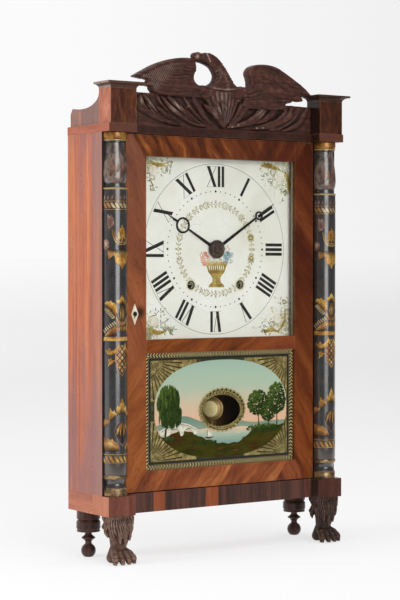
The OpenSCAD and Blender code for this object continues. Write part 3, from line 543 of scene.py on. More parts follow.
paw_x = 194.5
parts = [swollen([((176, 6, 69), 3), ((176, 27, 69), 3), ((214, 6, 69), 3), ((214, 27, 69), 3),
                  ((186.5, 14, 48), 11), ((202.5, 14, 48), 11)]),
         swollen([((186.5, 14, 50), 11), ((202.5, 14, 50), 11), ((paw_x, 20, 24), 11.5)]),
         swollen([((paw_x, 20, 25), 11.5), ((187.5, 27, 8), 8), ((201.5, 27, 8), 8)])]
for t in (-14.5, -5, 5, 14.5):
    parts.append(swollen([((paw_x + 0.5 * t, 16, 18), 7.2), ((paw_x + 0.9 * t, 8, 15), 5.6)]))
    parts.append(swollen([((paw_x + 0.9 * t, 8, 14), 5.4), ((paw_x + 1.08 * t, 2.2, 9.6), 5.2)]))
    parts.append(swollen([((paw_x + 1.08 * t, 1.6, 8.2), 5.0),
                          ((paw_x + 1.12 * t, -2.4 + 0.02 * t * t, 4.4), 4.2)]))
    parts.append(swollen([((paw_x + 1.12 * t, -4.6 + 0.02 * t * t, 3.6), 2.0),
                          ((paw_x + 1.13 * t, -7 + 0.02 * t * t, 1.2), 0.9)], 2))
for u, v, low, wide in ((-18, 8, 44, 4.6), (-14, 4, 39, 3.6), (-11, 1, 35, 4.4), (-6.5, 0, 44, 3.4),
                        (-2, -1, 27, 4.4), (3, -1, 40, 3.4), (7, 0, 32, 4.4), (11, 2, 43, 3.4),
                        (15, 4, 41, 4.6), (18.6, 9, 52, 3.8), (-20, 20, 37, 4.6), (19, 18, 39, 4.6),
                        (-20, 14, 50, 3.6), (19.6, 25, 50, 3.6)):
    parts.append(swollen([((paw_x + 0.8 * u, 0.5 * v + 7, 64), 0.9 * wide + 1),
                          ((paw_x + u, v + 4.6, 0.5 * (low + 62)), wide)], 2))
    parts.append(swollen([((paw_x + u, v + 4.6, 0.5 * (low + 62)), wide),
                          ((paw_x + 0.98 * u, v + 3.6, 0.25 * (low + 62) + 0.5 * low), 0.75 * wide),
                          ((paw_x + 0.95 * u, v + 2.6, low), 1.0)], 2))
skin, faces, out, links = fused(parts, 1.0, 2)
x, y, z = skin[:, 0] - paw_x, skin[:, 1] - 16, skin[:, 2]
around = np.arctan2(x, -y)
hairy = np.clip((z - 30 - 8 * np.cos(around)) / 8, 0, 1) * np.clip((71 - z) / 2, 0, 1)
lie = around * 5.2 + 0.55 * np.sin(z / 6.5 + 2.2 * around) + 0.02 * (z - 50) * np.sign(x)
cut = 1.15 * valley(lie, 1.6) + 0.45 * valley(2.3 * lie + 0.3 * np.sin(z / 4), 1.5)
skin -= out * (hairy * cut)[:, None]
knuckle = np.clip((24 - z) / 6, 0, 1) * np.clip((8 - (skin[:, 1] - 2)) / 6, 0, 1)
skin -= out * (0.5 * knuckle * valley(z / 6.3 + 0.12, 3))[:, None]
skin[:, 1] -= 4.5 * np.clip((72 - skin[:, 2]) / 14, 0.4, 1)
skin[:, 2] = np.clip(skin[:, 2], 0, 71.9)
skin[:, 0] = np.clip(skin[:, 0], 150.3, 229.6)
skin[:, 1] = np.maximum(skin[:, 1], -12.2)
# Proud places are painted pale as wear and painted highlight, and hollows dark as painted shade.
proud = stand_out(skin, out, links, 5, 0.55)
marks = np.stack([np.clip(0.5 + proud, 0, 1), np.clip(0.5 - proud, 0, 1)], 1)
# The right paw's darker stops and pale are painted shade: a shaded copy of the left paw's wood.
for side, flip, stops, pale in (
        ("left", -1, [(0, "34221B"), (0.45, "523A31"), (0.75, "6C4F43"), (1, "846454")], "AC8C7A"),
        ("right", 1, [(0, "1E1310"), (0.45, "30201A"), (0.75, "402A23"), (1, "52392E")], "785A4C")):
    paw_wood = carved(f"paw_wood_{side}", stops, pale, 0.05)
    points = [spot(flip * p[0], p[1], p[2]) for p in skin]
    paw = solid(f"paw_{side}", points, faces if flip > 0 else [f[::-1] for f in faces], paw_wood,
                "case", 80, marks)
    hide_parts("paw_feet")
dress(shellacked("rear_foot_wood", [(0, "2A1A16"), (0.45, "46302A"), (0.75, "5E443C"),
                                    (1, "72564B")], (0, 0, 0), 40, 200, 0.15, coat=0.3, gloss=0.34,
                 worn="8A6A5C"), "rear_feet")

# ---------------------------------------------------------------------------------------------
# The splat: an eagle between spread wings over long curling leaves, carved in one board, with
# the neck and head left free of the ground.
# ---------------------------------------------------------------------------------------------
def eased(points, n=6, closed=True):
    """A smooth curve through its points."""
    points = np.array(points, float)
    if not closed:
        points = np.vstack([2 * points[0] - points[1], points, 2 * points[-1] - points[-2]])
    run, k = [], len(points)
    for i in range(k) if closed else range(1, k - 2):
        a, b, c, d = points[(i - 1) % k], points[i], points[(i + 1) % k], points[(i + 2) % k]
        for t in np.arange(n) / n:
            run.append(0.5 * (2 * b + (c - a) * t + (2 * a - 5 * b + 4 * c - d) * t * t
                              + (3 * b - a - 3 * c + d) * t ** 3))
    if not closed:
        run.append(points[-2])
    return np.array(run)


def depth_inside(px, pz, outline):
    """How far each place lies inside a closed outline, below 0 outside it."""
    a, b = outline, np.roll(outline, -1, 0)
    near, inner = np.full(px.shape, 1e9), np.zeros(px.shape, bool)
    for (ax, az), (bx, bz) in zip(a, b):
        dx, dz = bx - ax, bz - az
        t = np.clip(((px - ax) * dx + (pz - az) * dz) / (dx * dx + dz * dz + 1e-12), 0, 1)
        near = np.minimum(near, np.hypot(px - ax - t * dx, pz - az - t * dz))
        crosses = (az > pz) != (bz > pz)
        inner ^= crosses & (px < (bx - ax) * (pz - az) / (bz - az + 1e-12) + ax)
    return np.where(inner, near, -near)


def beside(px, pz, path):
    """For each place: how far along a path, how far to its left, and the distance."""
    best, along, left = (np.full(px.shape, v) for v in (1e9, 0.0, 0.0))
    for i, ((ax, az), (bx, bz)) in enumerate(zip(path, path[1:])):
        dx, dz = bx - ax, bz - az
        size = math.hypot(dx, dz)
        t = np.clip(((px - ax) * dx + (pz - az) * dz) / size ** 2, 0, 1)
        near = np.hypot(px - ax - t * dx, pz - az - t * dz)
        closer = near < best
        best = np.where(closer, near, best)
        along = np.where(closer, (i + t) / (len(path) - 1), along)
        left = np.where(closer, (dx * (pz - az) - dz * (px - ax)) / size, left)
    return along, left, best


TOP = 654.3
wing_l = eased([[-164.4, 727.5], [-157.3, 732.2], [-144.6, 739], [-123.7, 749], [-99.5, 756.8],
                [-80, 760], [-65, 760.6], [-55.6, 759], [-54, 753.6], [-52.8, 742.8],
                [-56.4, 735.8], [-57.2, 728.9], [-54, 723.7], [-46, 719.6], [-38, 719.3],
                [-37, 702], [-117, 702], [-134, 709.2], [-135, 713.4], [-151, 715],
                [-141.5, 719.6], [-139.2, 723.4], [-152, 725]])
wing_r = eased([[48, 724], [47.3, 733.4], [44.2, 742.9], [46.6, 750.1], [54.2, 755.8], [66, 758.8],
                [84.4, 759.1], [100.2, 756.6], [114.3, 750.4], [135.7, 739], [153.6, 728.7],
                [166.2, 718.6], [168, 715.4], [158, 713.2], [150.5, 712.4], [153, 705.6],
                [142, 705.4], [132.1, 706], [130.5, 702.5], [119, 699], [112, 690], [40, 690],
                [36, 705], [35, 721], [42, 721.6]])
neck = eased([[-58.6, 763.6], [-56.8, 768.2], [-51, 770.4], [-44.5, 769], [-36.5, 770.4],
              [-29, 770.2], [-17.2, 765.5], [-6.2, 756.6], [3.1, 746.1], [11.5, 734.2],
              [19, 724.5], [24, 721.8], [34, 721.2], [36, 704], [-20, 692], [-44, 704],
              [-46, 719.4], [-40.3, 719.6], [-30.3, 721.2], [-22.3, 726.3], [-18.8, 733.3],
              [-19.8, 739.6], [-26.9, 748.8], [-40.3, 754.2], [-48.5, 755.6], [-55, 758.6]])
board_edge = np.array([(-172.8, TOP), (172.8, TOP), (172.8, 697), (30, 700), (-40, 704),
                       (-172.8, 704)])
step = 0.85
px, pz = np.meshgrid(np.arange(-173.4, 173.5, step), np.arange(TOP, 771.4, step), indexing="ij")
in_l, in_r, in_n, in_b = (depth_inside(px, pz, e) for e in (wing_l, wing_r, neck, board_edge))
body = np.maximum(np.maximum(in_l, in_r), np.maximum(in_n, in_b))


def wander(a, b, seed):
    """A slow irregular wave over the board, between -1 and 1."""
    return 0.5 * (np.sin(a + 1.7 * np.sin(0.61 * b + seed) + seed)
                  + np.sin(1.3 * b - 1.3 * np.sin(0.73 * a + 2 * seed)))


# The ground, with slow hollows between the leaves; how pale each place is painted, as wear and
# # painted highlight, and how dark in its cuts, as painted shade
height = 0.5 + 0.5 * wander(px / 11, pz / 6, 0.4)
worn, shade_in_cuts = np.zeros(px.shape), np.zeros(px.shape)


def rounded(inner, over_mm, rise):
    t = np.clip(inner / over_mm, 0, 1)
    return rise * np.sqrt(1 - (1 - t) ** 2)


def set_on(shape_height, mask, pale=0.0):
    mask = mask & (shape_height > height)
    height[mask] = shape_height[mask]
    worn[mask] = np.broadcast_to(pale, px.shape)[mask]


def cut(points, depth, wide):
    """A deep cut along a path, shallow at both ends, painted dark along it as shade."""
    at, _, far = beside(px, pz, eased(points, 6, False))
    fall = np.exp(-(far / wide) ** 2) * np.sin(np.pi * np.clip(at, 0.02, 0.98)) ** 0.5
    height[:] = np.maximum(height - depth * fall, 0.1)
    shade_in_cuts[:] = np.maximum(shade_in_cuts, fall)
    worn[:] = worn * (1 - fall)


# The wings: a smooth leading edge, broken lines of feathers, and a fine hatch at the left tip
# # whose ridges are painted pale, as wear and painted highlight
lead = np.interp(px, [-164, -144, -124, -99, -80, -56], [727.5, 739, 749, 757, 760, 760])
down = lead - pz
flow = pz + 2.6 * wander(px / 9, pz / 6, 0.3) + 0.7 * wander(px / 3.4, pz / 3, 1.1)
ranks = valley(flow / 5.4, 6) * np.clip(0.6 + 0.6 * wander(px / 14, pz / 5, 2.2), 0, 1)
tip = np.clip((-90 - px + 0.9 * (pz - 735)) / 20, 0, 1) * np.clip((down - 4) / 2, 0, 1)
hatch = 1.2 * valley((0.87 * px - 0.5 * pz) / 3.1, 1.2)
left_wing = 7.0 + rounded(in_l, 6, 2.2) - (1 - tip) * 2.0 * ranks - tip * hatch
left_wing += 0.9 * np.clip((5 - down) / 1.2, 0, 1) - 0.9 * np.exp(-((down - 5.6) / 0.8) ** 2)
set_on(left_wing * np.clip(0.75 + in_l / 4, 0, 1), in_l > -0.2, 0.4 * tip * (1 - hatch / 1.2) ** 3)
lead = np.interp(px, [44, 54, 66, 84, 100, 114, 136, 154, 166],
                 [748, 755.8, 758.8, 759.1, 756.6, 750.4, 739, 728.7, 718.6])
bend = np.clip((pz - 706) / 45, 0, 1)
flow = bend * (pz - lead) + (1 - bend) * (pz - 735)
flow = flow + 2.8 * wander(px / 11, pz / 7, 4.1) + 0.7 * wander(px / 4, pz / 3, 0.5)
ranks = valley(flow / 5.6, 6) * np.clip(0.6 + 0.6 * wander(px / 12, pz / 5, 5.0), 0, 1)
roll_at, _, roll_far = beside(px, pz, eased([[50, 724], [50, 733], [47.5, 742],
                                             [50, 749], [57, 753.6], [70, 756],
                                             [88, 755.6], [106, 751]], 5, False))
right_wing = 6.8 + rounded(in_r, 7, 2.6) - 2.0 * ranks
rolled = 8.8 + 1.4 * np.sqrt(np.clip(1 - (roll_far / (4.4 - 2.6 * roll_at)) ** 2, 0, 1))
right_wing = np.where(roll_far < 4.4 - 2.6 * roll_at, rolled, right_wing)
set_on(right_wing * np.clip(0.75 + in_r / 4, 0, 1), in_r > -0.2)


def frond(points, width, rise, rib=0.7, bright=0.0, peak=0.3, ribs=1.6):
    """A long leaf from its curled tip down to its root, with fine ribs, and painted pale round
    one place as a highlight."""
    at, side, far = beside(px, pz, eased(points, 7, False))
    half = width * (0.18 + 0.82 * np.sin(np.pi * np.clip(at, 0.0, 1) ** 0.6) ** 0.8)
    across = np.clip(side / half, -1, 1)
    bent = np.sqrt(np.clip(1 - across ** 2, 0, 1))
    shape = rise * (0.3 + 0.7 * np.sin(np.pi * (0.15 + 0.6 * (1 - at)))) * (0.3 + 0.7 * bent)
    shape -= rib * valley(ribs * across, 2.4) * (far < half * 0.86)
    # Painted highlight: pale round the peak, across the leaf's rounded middle.
    pale = bright * np.exp(-((at - peak) / 0.13) ** 2) * bent ** 1.4
    pale *= 0.55 + 0.45 * np.sin(9 * across + 14 * at)
    set_on(1.2 + shape, (far < half) & (np.abs(side) < half), pale)


for points, width, rise, bright in (
        (([-163, 697], [-153, 683], [-140, 676], [-121, 667], [-101, 659]), 5.4, 5.0, 0.1),
        (([-124, 684], [-112, 676], [-100, 667], [-86, 661]), 3.6, 4.6, 0.0),
        (([-153.6, 701], [-151.6, 690], [-143.6, 681], [-133, 674]), 4.3, 6.4, 1.0),
        (([-149.4, 701.5], [-140.2, 692.9], [-131, 681], [-121, 671], [-103, 662], [-80, 657.5]),
         4.6, 6.4, 0.8),
        (([-80, 684], [-66, 674], [-52, 665], [-40, 659]), 5.2, 4.6, 0.0),
        (([-114.5, 699.5], [-101, 686.3], [-89.5, 678], [-76.7, 671], [-60, 662], [-32, 657]),
         4.2, 6.0, 0.9),
        (([-104.6, 700], [-94.2, 693.4], [-85, 686], [-77, 679], [-64, 671], [-50, 664],
          [-34, 658.6]), 5.4, 6.6, 1.0),
        (([-76.5, 703], [-69.7, 694], [-61, 684], [-49, 674], [-36, 663]), 2.6, 5.0, 0.35),
        (([-58, 703], [-52, 694], [-44, 684], [-34, 672], [-22, 661]), 5.4, 5.2, 0.0),
        (([-124, 702], [-118, 692], [-108, 683], [-98, 675]), 2.6, 4.4, 0.2),
        (([168, 697.5], [158, 684], [146, 669], [128, 661], [112, 657]), 5.4, 5.2, 0.0),
        (([148, 697], [138, 682], [122, 669], [103, 660], [88, 657]), 5.2, 5.4, 0.1),
        (([133, 698], [128.6, 684], [113.4, 671], [84.5, 661.7], [53.4, 657]), 5.6, 6.0, 0.2),
        (([121.5, 696], [118, 684], [103, 672.6], [80, 664.6], [60, 661]), 4.6, 5.2, 0.15),
        (([103, 703], [100, 692], [92, 682], [78, 672], [60, 666]), 6.2, 4.4, 0.0),
        (([77, 699.5], [75, 689], [65, 677.5], [51, 669.5], [34, 664], [8, 657.5]), 7.6, 7.0, 0.45),
        (([50, 699], [42, 688], [32, 676], [18, 664], [6, 657.5]), 5.2, 5.6, 0.0),
        (([37, 699], [31, 688], [22, 675], [10, 663]), 4.6, 5.8, 0.1)):
    frond(points, width, rise, bright=bright)
for points, depth, wide in (
        (([-113, 662.2], [-99, 657.5], [-85, 656.2], [-73, 655.8]), 4.0, 1.5),
        (([-113, 675.4], [-101, 667.3], [-87, 663]), 3.0, 1.3),
        (([-66, 661.4], [-52, 657.2], [-40, 656.2], [-26, 655.8]), 4.0, 1.4),
        (([-64, 671.6], [-54, 664.4], [-42, 660.2]), 3.0, 1.2),
        (([-95.5, 702.5], [-87.2, 693.6], [-81, 685]), 4.0, 1.7),
        (([-142, 702], [-134, 692], [-127, 683]), 3.6, 1.7),
        (([-147.6, 698], [-139, 687], [-129, 677], [-116, 668.6], [-104, 661.6]), 3.0, 0.9),
        (([-107.6, 697], [-96, 687.6], [-85, 680.2], [-72, 672]), 3.0, 0.9),
        (([9, 655.8], [32, 655.6], [66, 656.4], [97, 656.8]), 3.4, 1.3),
        (([62, 692], [56, 682], [46, 674], [36, 669]), 2.6, 1.3),
        (([112, 690], [104, 678.6], [92, 671.6]), 2.6, 1.3),
        (([143, 690], [131, 676], [116, 667], [100, 660]), 2.4, 1.0)):
    cut(points, depth, wide)
for u, v in ((15.5, 658.7), (26.4, 662.2), (63.3, 658.8), (74.5, 660.3), (-67, 686)):
    worn += 0.7 * np.exp(-(np.hypot(px - u, pz - v) / 1.5) ** 2)

# The breast: a ribbed shield that narrows to a point, with spear leaves across its left half
shield = eased([[-27, 714], [-5, 714.5], [21, 717], [25, 706], [24, 692], [16, 674], [5, 661],
                [-1, 656], [-8, 661], [-22, 676], [-29, 692]], 4)
in_s = depth_inside(px, pz, shield)
dome = 11.0 - 0.0056 * (px + 3) ** 2 - 0.0016 * np.clip(696 - pz, 0, 60) ** 2
flute = valley((px + 3) / (8.6 * np.clip((pz - 640) / 66, 0.3, 1.02)), 1.6)
# Painted highlight: pale on the flutes' ridges, more so to the left and higher up.
set_on(np.minimum(dome - 1.4 * flute, 2.5 + rounded(in_s, 8, 8.9)), in_s > 0,
       0.35 * (1 - flute) ** 2 * np.clip((14 - px) / 22, 0.1, 1) * np.clip((pz - 668) / 20, 0, 1))
for points, width, rise, bright in (
        (([-38, 691], [-26, 682], [-13, 670], [-1, 658]), 3.6, 9.0, 0.35),
        (([-33, 703], [-28.6, 690], [-19, 680], [-7, 667], [-2, 660]), 3.6, 10.2, 0.4),
        (([-25.4, 701], [-15.6, 689], [-9.4, 678], [-5, 666]), 3.7, 11.2, 0.9),
        (([-13.8, 700], [-14.4, 689], [-9.6, 676], [-4, 665]), 3.0, 11.5, 0.85),
        (([-12.8, 700.5], [-4, 692], [1, 684], [0.2, 673]), 3.3, 11.5, 1.0)):
    frond(points, width, rise, 0.6, bright, 0.5, 0.9)
cut(([-39, 687], [-27, 676], [-14, 664], [-3, 655.6]), 3.0, 1.3)
cut(([-12, 696], [-9.5, 688], [-5.4, 679]), 2.4, 0.8)

# The neck: sawtooth feathers down its back, notches at the throat, and a drooping collar
spine = eased([[-48, 762], [-30, 761], [-14, 750], [-3, 738], [4, 724], [4, 708]], 6, False)
at, side, far = beside(px, pz, spine)
round_neck = 9.7 + rounded(in_n, 13, 2.7)
lower = np.clip((at - 0.34) * 8, 0, 1)
throat = np.clip((6.5 - in_n) / 2, 0, 1) * (side < 0) * lower
nape = np.clip((3.0 - in_n) / 1.6, 0, 1) * (side > 0) * lower
round_neck -= 2.4 * throat * valley(at * 15, 1.6) + 1.8 * nape * valley(at * 20, 1.2)
round_neck -= 0.7 * lower * valley(at * 9 + 0.5 * wander(px / 5, pz / 4, 1.7), 4)
collar_z = 715.5 + 0.0035 * (px + 5) ** 2
round_neck = np.where(pz < collar_z - 1.2, round_neck - 1.9, round_neck)
_, _, mouth = beside(px, pz, np.array([(-50, 758), (-44, 757), (-31, 751)]))
_, _, split = beside(px, pz, np.array([(-45, 770), (-44.4, 764), (-42, 758)]))
_, cheek_side, cheek = beside(px, pz, np.array([(-36, 769), (-33.4, 763), (-30, 756.5)]))
round_neck -= 2.4 * np.exp(-(mouth / 1.1) ** 2) + 2.0 * np.exp(-(split / 1.0) ** 2)
round_neck += 0.9 * np.exp(-(cheek / 0.9) ** 2) - 0.9 * np.exp(-((cheek_side + 2.2) / 0.9) ** 2
                                                               - (cheek / 3) ** 4)
eye = np.hypot(px + 39.6, pz - 763.4)
round_neck -= 1.0 * np.exp(-((eye - 1.9) / 0.7) ** 2)
beak = np.hypot((px + 52) / 1.1, pz - 764)
round_neck += 1.4 * np.exp(-(beak / 4.6) ** 2) - 1.0
# Painted highlight: pale on the beak's ball, the cheek line, the collar's edge and down the back of
# the neck.
pale = (0.9 * np.exp(-(cheek / 0.9) ** 2)
        + 0.8 * np.exp(-(np.hypot(px + 54.5, pz - 762.6) / 2.6) ** 2)
        + 0.5 * np.exp(-((pz - collar_z) / 0.8) ** 2) * (np.abs(px + 3) < 22)
        + 0.25 * lower * np.exp(-((side + 1) / 4) ** 2))
set_on(np.minimum(round_neck, 12.8), (in_n > 0) & (pz > 704), pale)
# Painted shade: dark in the mouth line and the throat's notches.
groove_shade = np.maximum(np.exp(-(mouth / 1.5) ** 2), 0.8 * throat * valley(at * 15, 1.6))
shade_in_cuts = np.maximum(shade_in_cuts, groove_shade * (in_n > 0) * (pz > 716))
blend_low = (in_n > 0) & (pz <= 704) & (pz > 690) & (in_s <= 0)
set_on(7.0 + 3.5 * np.clip((pz - 690) / 14, 0, 1), blend_low)
np.clip(height, 0.2, 12.9, out=height)

# Ease the cut once, then close the front, the back and the rim into one solid
pad = np.pad(height, 1, mode="edge")
height = 0.5 * height + 0.125 * (pad[2:, 1:-1] + pad[:-2, 1:-1] + pad[1:-1, 2:] + pad[1:-1, :-2])
pad = np.pad(height, 4, mode="edge")
wide = sum(pad[4 + i:pad.shape[0] - 4 + i, 4 + j:pad.shape[1] - 4 + j]
           for i in (-3, 0, 3) for j in (-3, 0, 3)) / 9
relief = np.clip(height - wide, -2.2, 0.9) * np.clip((body - 1) / 3, 0.15, 1)
# Proud places are painted pale as wear and painted highlight; low places and cuts dark as painted
# shade.
proud = np.clip(0.5 + 0.06 * relief + 0.42 * worn, 0, 1)
deep = np.clip(0.5 - 0.24 * relief + 0.4 * shade_in_cuts - 0.3 * worn, 0, 1)
grad_x, grad_z = np.gradient(body, step)
size = np.hypot(grad_x, grad_z) + 1e-6
pull = np.where(body < 0.6 * step, body - 0.05, 0) * (np.abs(body) < 1.2)
snap_x = np.clip(px - pull * grad_x / size, -172.8, 172.8)
snap_z = np.clip(pz - pull * grad_z / size, TOP, 770.6)
keep = body > -0.55 * step
cell = keep[:-1, :-1] & keep[1:, :-1] & keep[1:, 1:] & keep[:-1, 1:]
free_neck = (np.maximum(np.maximum(in_l, in_r), in_b) < -0.2)
index = -np.ones(px.shape, int)
used = np.zeros(px.shape, bool)
for di in (0, 1):
    for dj in (0, 1):
        used[di:px.shape[0] - 1 + di, dj:px.shape[1] - 1 + dj] |= cell
index[used] = np.arange(used.sum())
count = int(used.sum())
front = [spot(a, 21.7 - h, b) for a, h, b in zip(snap_x[used], height[used], snap_z[used])]
rear = [spot(a, 24.0 if f else 28.0 if w else 30.9, b)
        for a, f, w, b in zip(snap_x[used], free_neck[used], in_b[used] < -0.2, snap_z[used])]
faces, rim_edges = [], {}
for i, j in zip(*np.nonzero(cell)):
    a, b, c, d = (int(index[i, j]), int(index[i + 1, j]), int(index[i + 1, j + 1]),
                  int(index[i, j + 1]))
    faces.append((a, b, c, d))
    faces.append((a + count, d + count, c + count, b + count))
    for e in ((a, b), (b, c), (c, d), (d, a)):
        if (e[1], e[0]) in rim_edges:
            del rim_edges[(e[1], e[0])]
        else:
            rim_edges[e] = True
faces += [(b, a, a + count, b + count) for a, b in rim_edges]
marks = np.stack([proud[used], deep[used]], 1)
marks = np.vstack([marks, np.full((count, 2), 0.5)])
splat_wood = carved("splat_wood", [(0, "26140F"), (0.4, "41251D"), (0.7, "573228"),
                                   (1, "6C483B")], "AC9686", 0.2)
splat = solid("eagle_carving", front + rear, faces, splat_wood, "case", 70, marks)
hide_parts("eagle_splat")

# ---------------------------------------------------------------------------------------------
# The half columns: turned and split pine, blackened, stencilled in bronze powders with leaves,
# fruit and striped bands, and gilded on the top disc, the rings and the foot.
# ---------------------------------------------------------------------------------------------
def bow(low, high, n, bulge, power=1.0):
    """Points that swell by bulge between two [radius, height] ends."""
    steps = [i / n for i in range(n + 1)]
    return [(low[0] + (high[0] - low[0]) * t + bulge * math.sin(math.pi * t ** power),
             low[1] + (high[1] - low[1]) * t) for t in steps]


COLUMN = ([(18.2, 101.6), (18.9, 102.3), (18.9, 111.8), (18.3, 112.8), (17.9, 113.2)]
          + bow((18.2, 114), (18.4, 126.8), 10, -2.7)
          + bow((18.9, 127.2), (18.9, 132.6), 8, 0.75) + [(18.5, 133.3), (18.9, 134.4)]
          + [(19, z) for z in np.linspace(150, 554.6, 30)]
          + bow((19, 556.8), (19, 559.4), 6, 0.8) + [(17.2, 560.6), (17, 562.4), (17, 564.6)]
          + bow((16.9, 566), (14.6, 622.5), 26, 3.1, 0.62)
          + [(14.5, 626.2), (17.2, 626.8), (17.4, 627.6), (17.2, 628.3), (18.3, 628.7),
             (18.6, 629.6), (18.3, 630.5), (18, 630.9)]
          + bow((18.4, 631.4), (18.8, 641.2), 8, 0.5) + [(18.2, 641.9)])
COLUMN_X = (-198, 198)
COLUMN_Y = 19


def column_radius(z):
    return float(np.interp(z, [p[1] for p in COLUMN], [p[0] for p in COLUMN]))


def half_turned(profile, x, y, n=56):
    """A turned piece split down the middle, its flat side to the back."""
    points, faces = [], []
    for r, z in profile:
        points += [spot(x - r * math.cos(math.pi * i / n), y - r * math.sin(math.pi * i / n), z)
                   for i in range(n + 1)]
    row = n + 1
    for k in range(len(profile) - 1):
        for i in range(n):
            a = k * row + i
            faces.append((a, a + 1, a + 1 + row, a + row))
        faces.append((k * row + n, k * row, (k + 1) * row, (k + 1) * row + n))
    faces.append(tuple(reversed(range(row))))
    faces.append(tuple(range((len(profile) - 1) * row, len(profile) * row)))
    return points, faces


black, tree, shader = finish("column_lacquer", Specular_IOR_Level=0.3, Coat_Roughness=0.2,
                             Coat_IOR=1.95)
where = place_of(tree)
height = parts_of(tree, where)["Z"]
cloud = speckle(tree, where, 55, 5, 0.62, 0.6)
ground = ramp(tree, cloud, [(0.3, "1D1B1B"), (0.5, "2A2828"), (0.62, "35302D"), (0.75, "463A31")])
smoke = ramp(tree, speckle(tree, turned(tree, where, scale=(1, 1, 0.5)), 70, 5, 0.7, 1.0),
             [(0.34, "2A2420"), (0.44, "4A423A"), (0.5, "7A6C60"), (0.56, "84594C"),
              (0.61, "4A563F"), (0.7, "6C6058")])
swell = sums(tree, "COMPARE", height, 0.596, 0.0295)
lower = sums(tree, "COMPARE", height, 0.1415, 0.0085)
ground = over(tree, times(tree, swell, 0.78), ground, smoke)
ground = over(tree, times(tree, lower, 0.8), ground, tone("3F352C"))
gilt = ramp(tree, speckle(tree, turned(tree, where, scale=(1, 1, 0.5)), 85, 4, 0.6, 0.8),
            [(0.3, "4A2E10"), (0.46, "8A5A22"), (0.6, "B07C36"), (0.75, "CFA35E")])
worn_gilt = ramp(tree, speckle(tree, turned(tree, where, scale=(1, 1, 2)), 70, 4, 0.7),
                 [(0.35, "2E2318"), (0.5, "7C6242"), (0.65, "B2925F")])
disc = sums(tree, "GREATER_THAN", height, 0.6309)
ring = most(tree, sums(tree, "COMPARE", height, 0.6296, 0.0009),
            sums(tree, "COMPARE", height, 0.5581, 0.0013))
foot = most(tree, sums(tree, "COMPARE", height, 0.1299, 0.0029),
            sums(tree, "LESS_THAN", height, 0.1136))
colour = over(tree, disc, ground, gilt)
colour = over(tree, ring, colour, tone("B49A66"))
colour = over(tree, foot, colour, worn_gilt)
chip = spread(tree, speckle(tree, where, 210, 3, 0.6), 0.70, 0.74)
colour = over(tree, times(tree, chip, 0.5), colour, tone("8A7050"))
surface(shader, colour, spread(tree, cloud, 0.3, 0.7, 0.24, 0.4), raised(tree, cloud, 0.12, 0.0003))
bright = most(tree, disc, most(tree, ring, foot))
tree.links.new(times(tree, bright, 0.45), shader.inputs["Metallic"])
tree.links.new(times(tree, spread(tree, cloud, 0.25, 0.75, 1.0, 0.6),
                     spread(tree, bright, 0, 1, 1, 0.2)), shader.inputs["Coat Weight"])

for side, x in zip(("left", "right"), COLUMN_X):
    points, faces = half_turned(COLUMN, x, COLUMN_Y)
    column = solid(f"column_{side}", points, faces, black, "case", 40)
    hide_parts("half_columns")


def marks_along():
    """The node group that sets flat marks along a path, facing up, turned from its direction."""
    if "marks_along" in bpy.data.node_groups:
        return bpy.data.node_groups["marks_along"]
    group = bpy.data.node_groups.new("marks_along", "GeometryNodeTree")
    face = group.interface
    face.new_socket("Geometry", in_out="INPUT", socket_type="NodeSocketGeometry")
    for name, kind in (("Count", "NodeSocketInt"), ("Length", "NodeSocketFloat"),
                       ("Width", "NodeSocketFloat"), ("Turn", "NodeSocketFloat"),
                       ("Sides", "NodeSocketInt")):
        face.new_socket(name, in_out="INPUT", socket_type=kind)
    face.new_socket("Material", in_out="INPUT", socket_type="NodeSocketMaterial")
    face.new_socket("Geometry", in_out="OUTPUT", socket_type="NodeSocketGeometry")
    into = group.nodes.new("NodeGroupInput").outputs
    out = group.nodes.new("NodeGroupOutput")

    def geo(kind, feeds, **settings):
        return put(group, kind, feeds, **settings)

    curve = geo("GeometryNodeMeshToCurve", {0: into[0]}).outputs[0]
    curve = geo("GeometryNodeResampleCurve", {"Curve": curve, "Count": into["Count"]}).outputs[0]
    mark = geo("GeometryNodeMeshCircle", {"Vertices": into["Sides"], "Radius": 1.0},
               fill_type="NGON").outputs[0]
    size = geo("CombineXYZ", {0: into["Length"], 1: into["Width"], 2: 1.0}).outputs[0]
    mark = geo("GeometryNodeTransform", {"Geometry": mark, "Scale": size}).outputs[0]
    way = geo("GeometryNodeInputTangent", {}).outputs[0]
    part = geo("SeparateXYZ", {0: way})
    angle = geo("Math", {0: part.outputs["Y"], 1: part.outputs["X"]},
                operation="ARCTAN2").outputs[0]
    angle = geo("Math", {0: angle, 1: into["Turn"]}, operation="ADD").outputs[0]
    spin = geo("CombineXYZ", {2: angle}).outputs[0]
    marks = geo("GeometryNodeInstanceOnPoints", {"Points": curve, "Instance": mark,
                                                 "Rotation": spin}).outputs[0]
    marks = geo("GeometryNodeRealizeInstances", {0: marks}).outputs[0]
    marks = geo("GeometryNodeSetMaterial", {"Geometry": marks,
                                            "Material": into["Material"]}).outputs[0]
    group.links.new(marks, out.inputs[0])
    return group


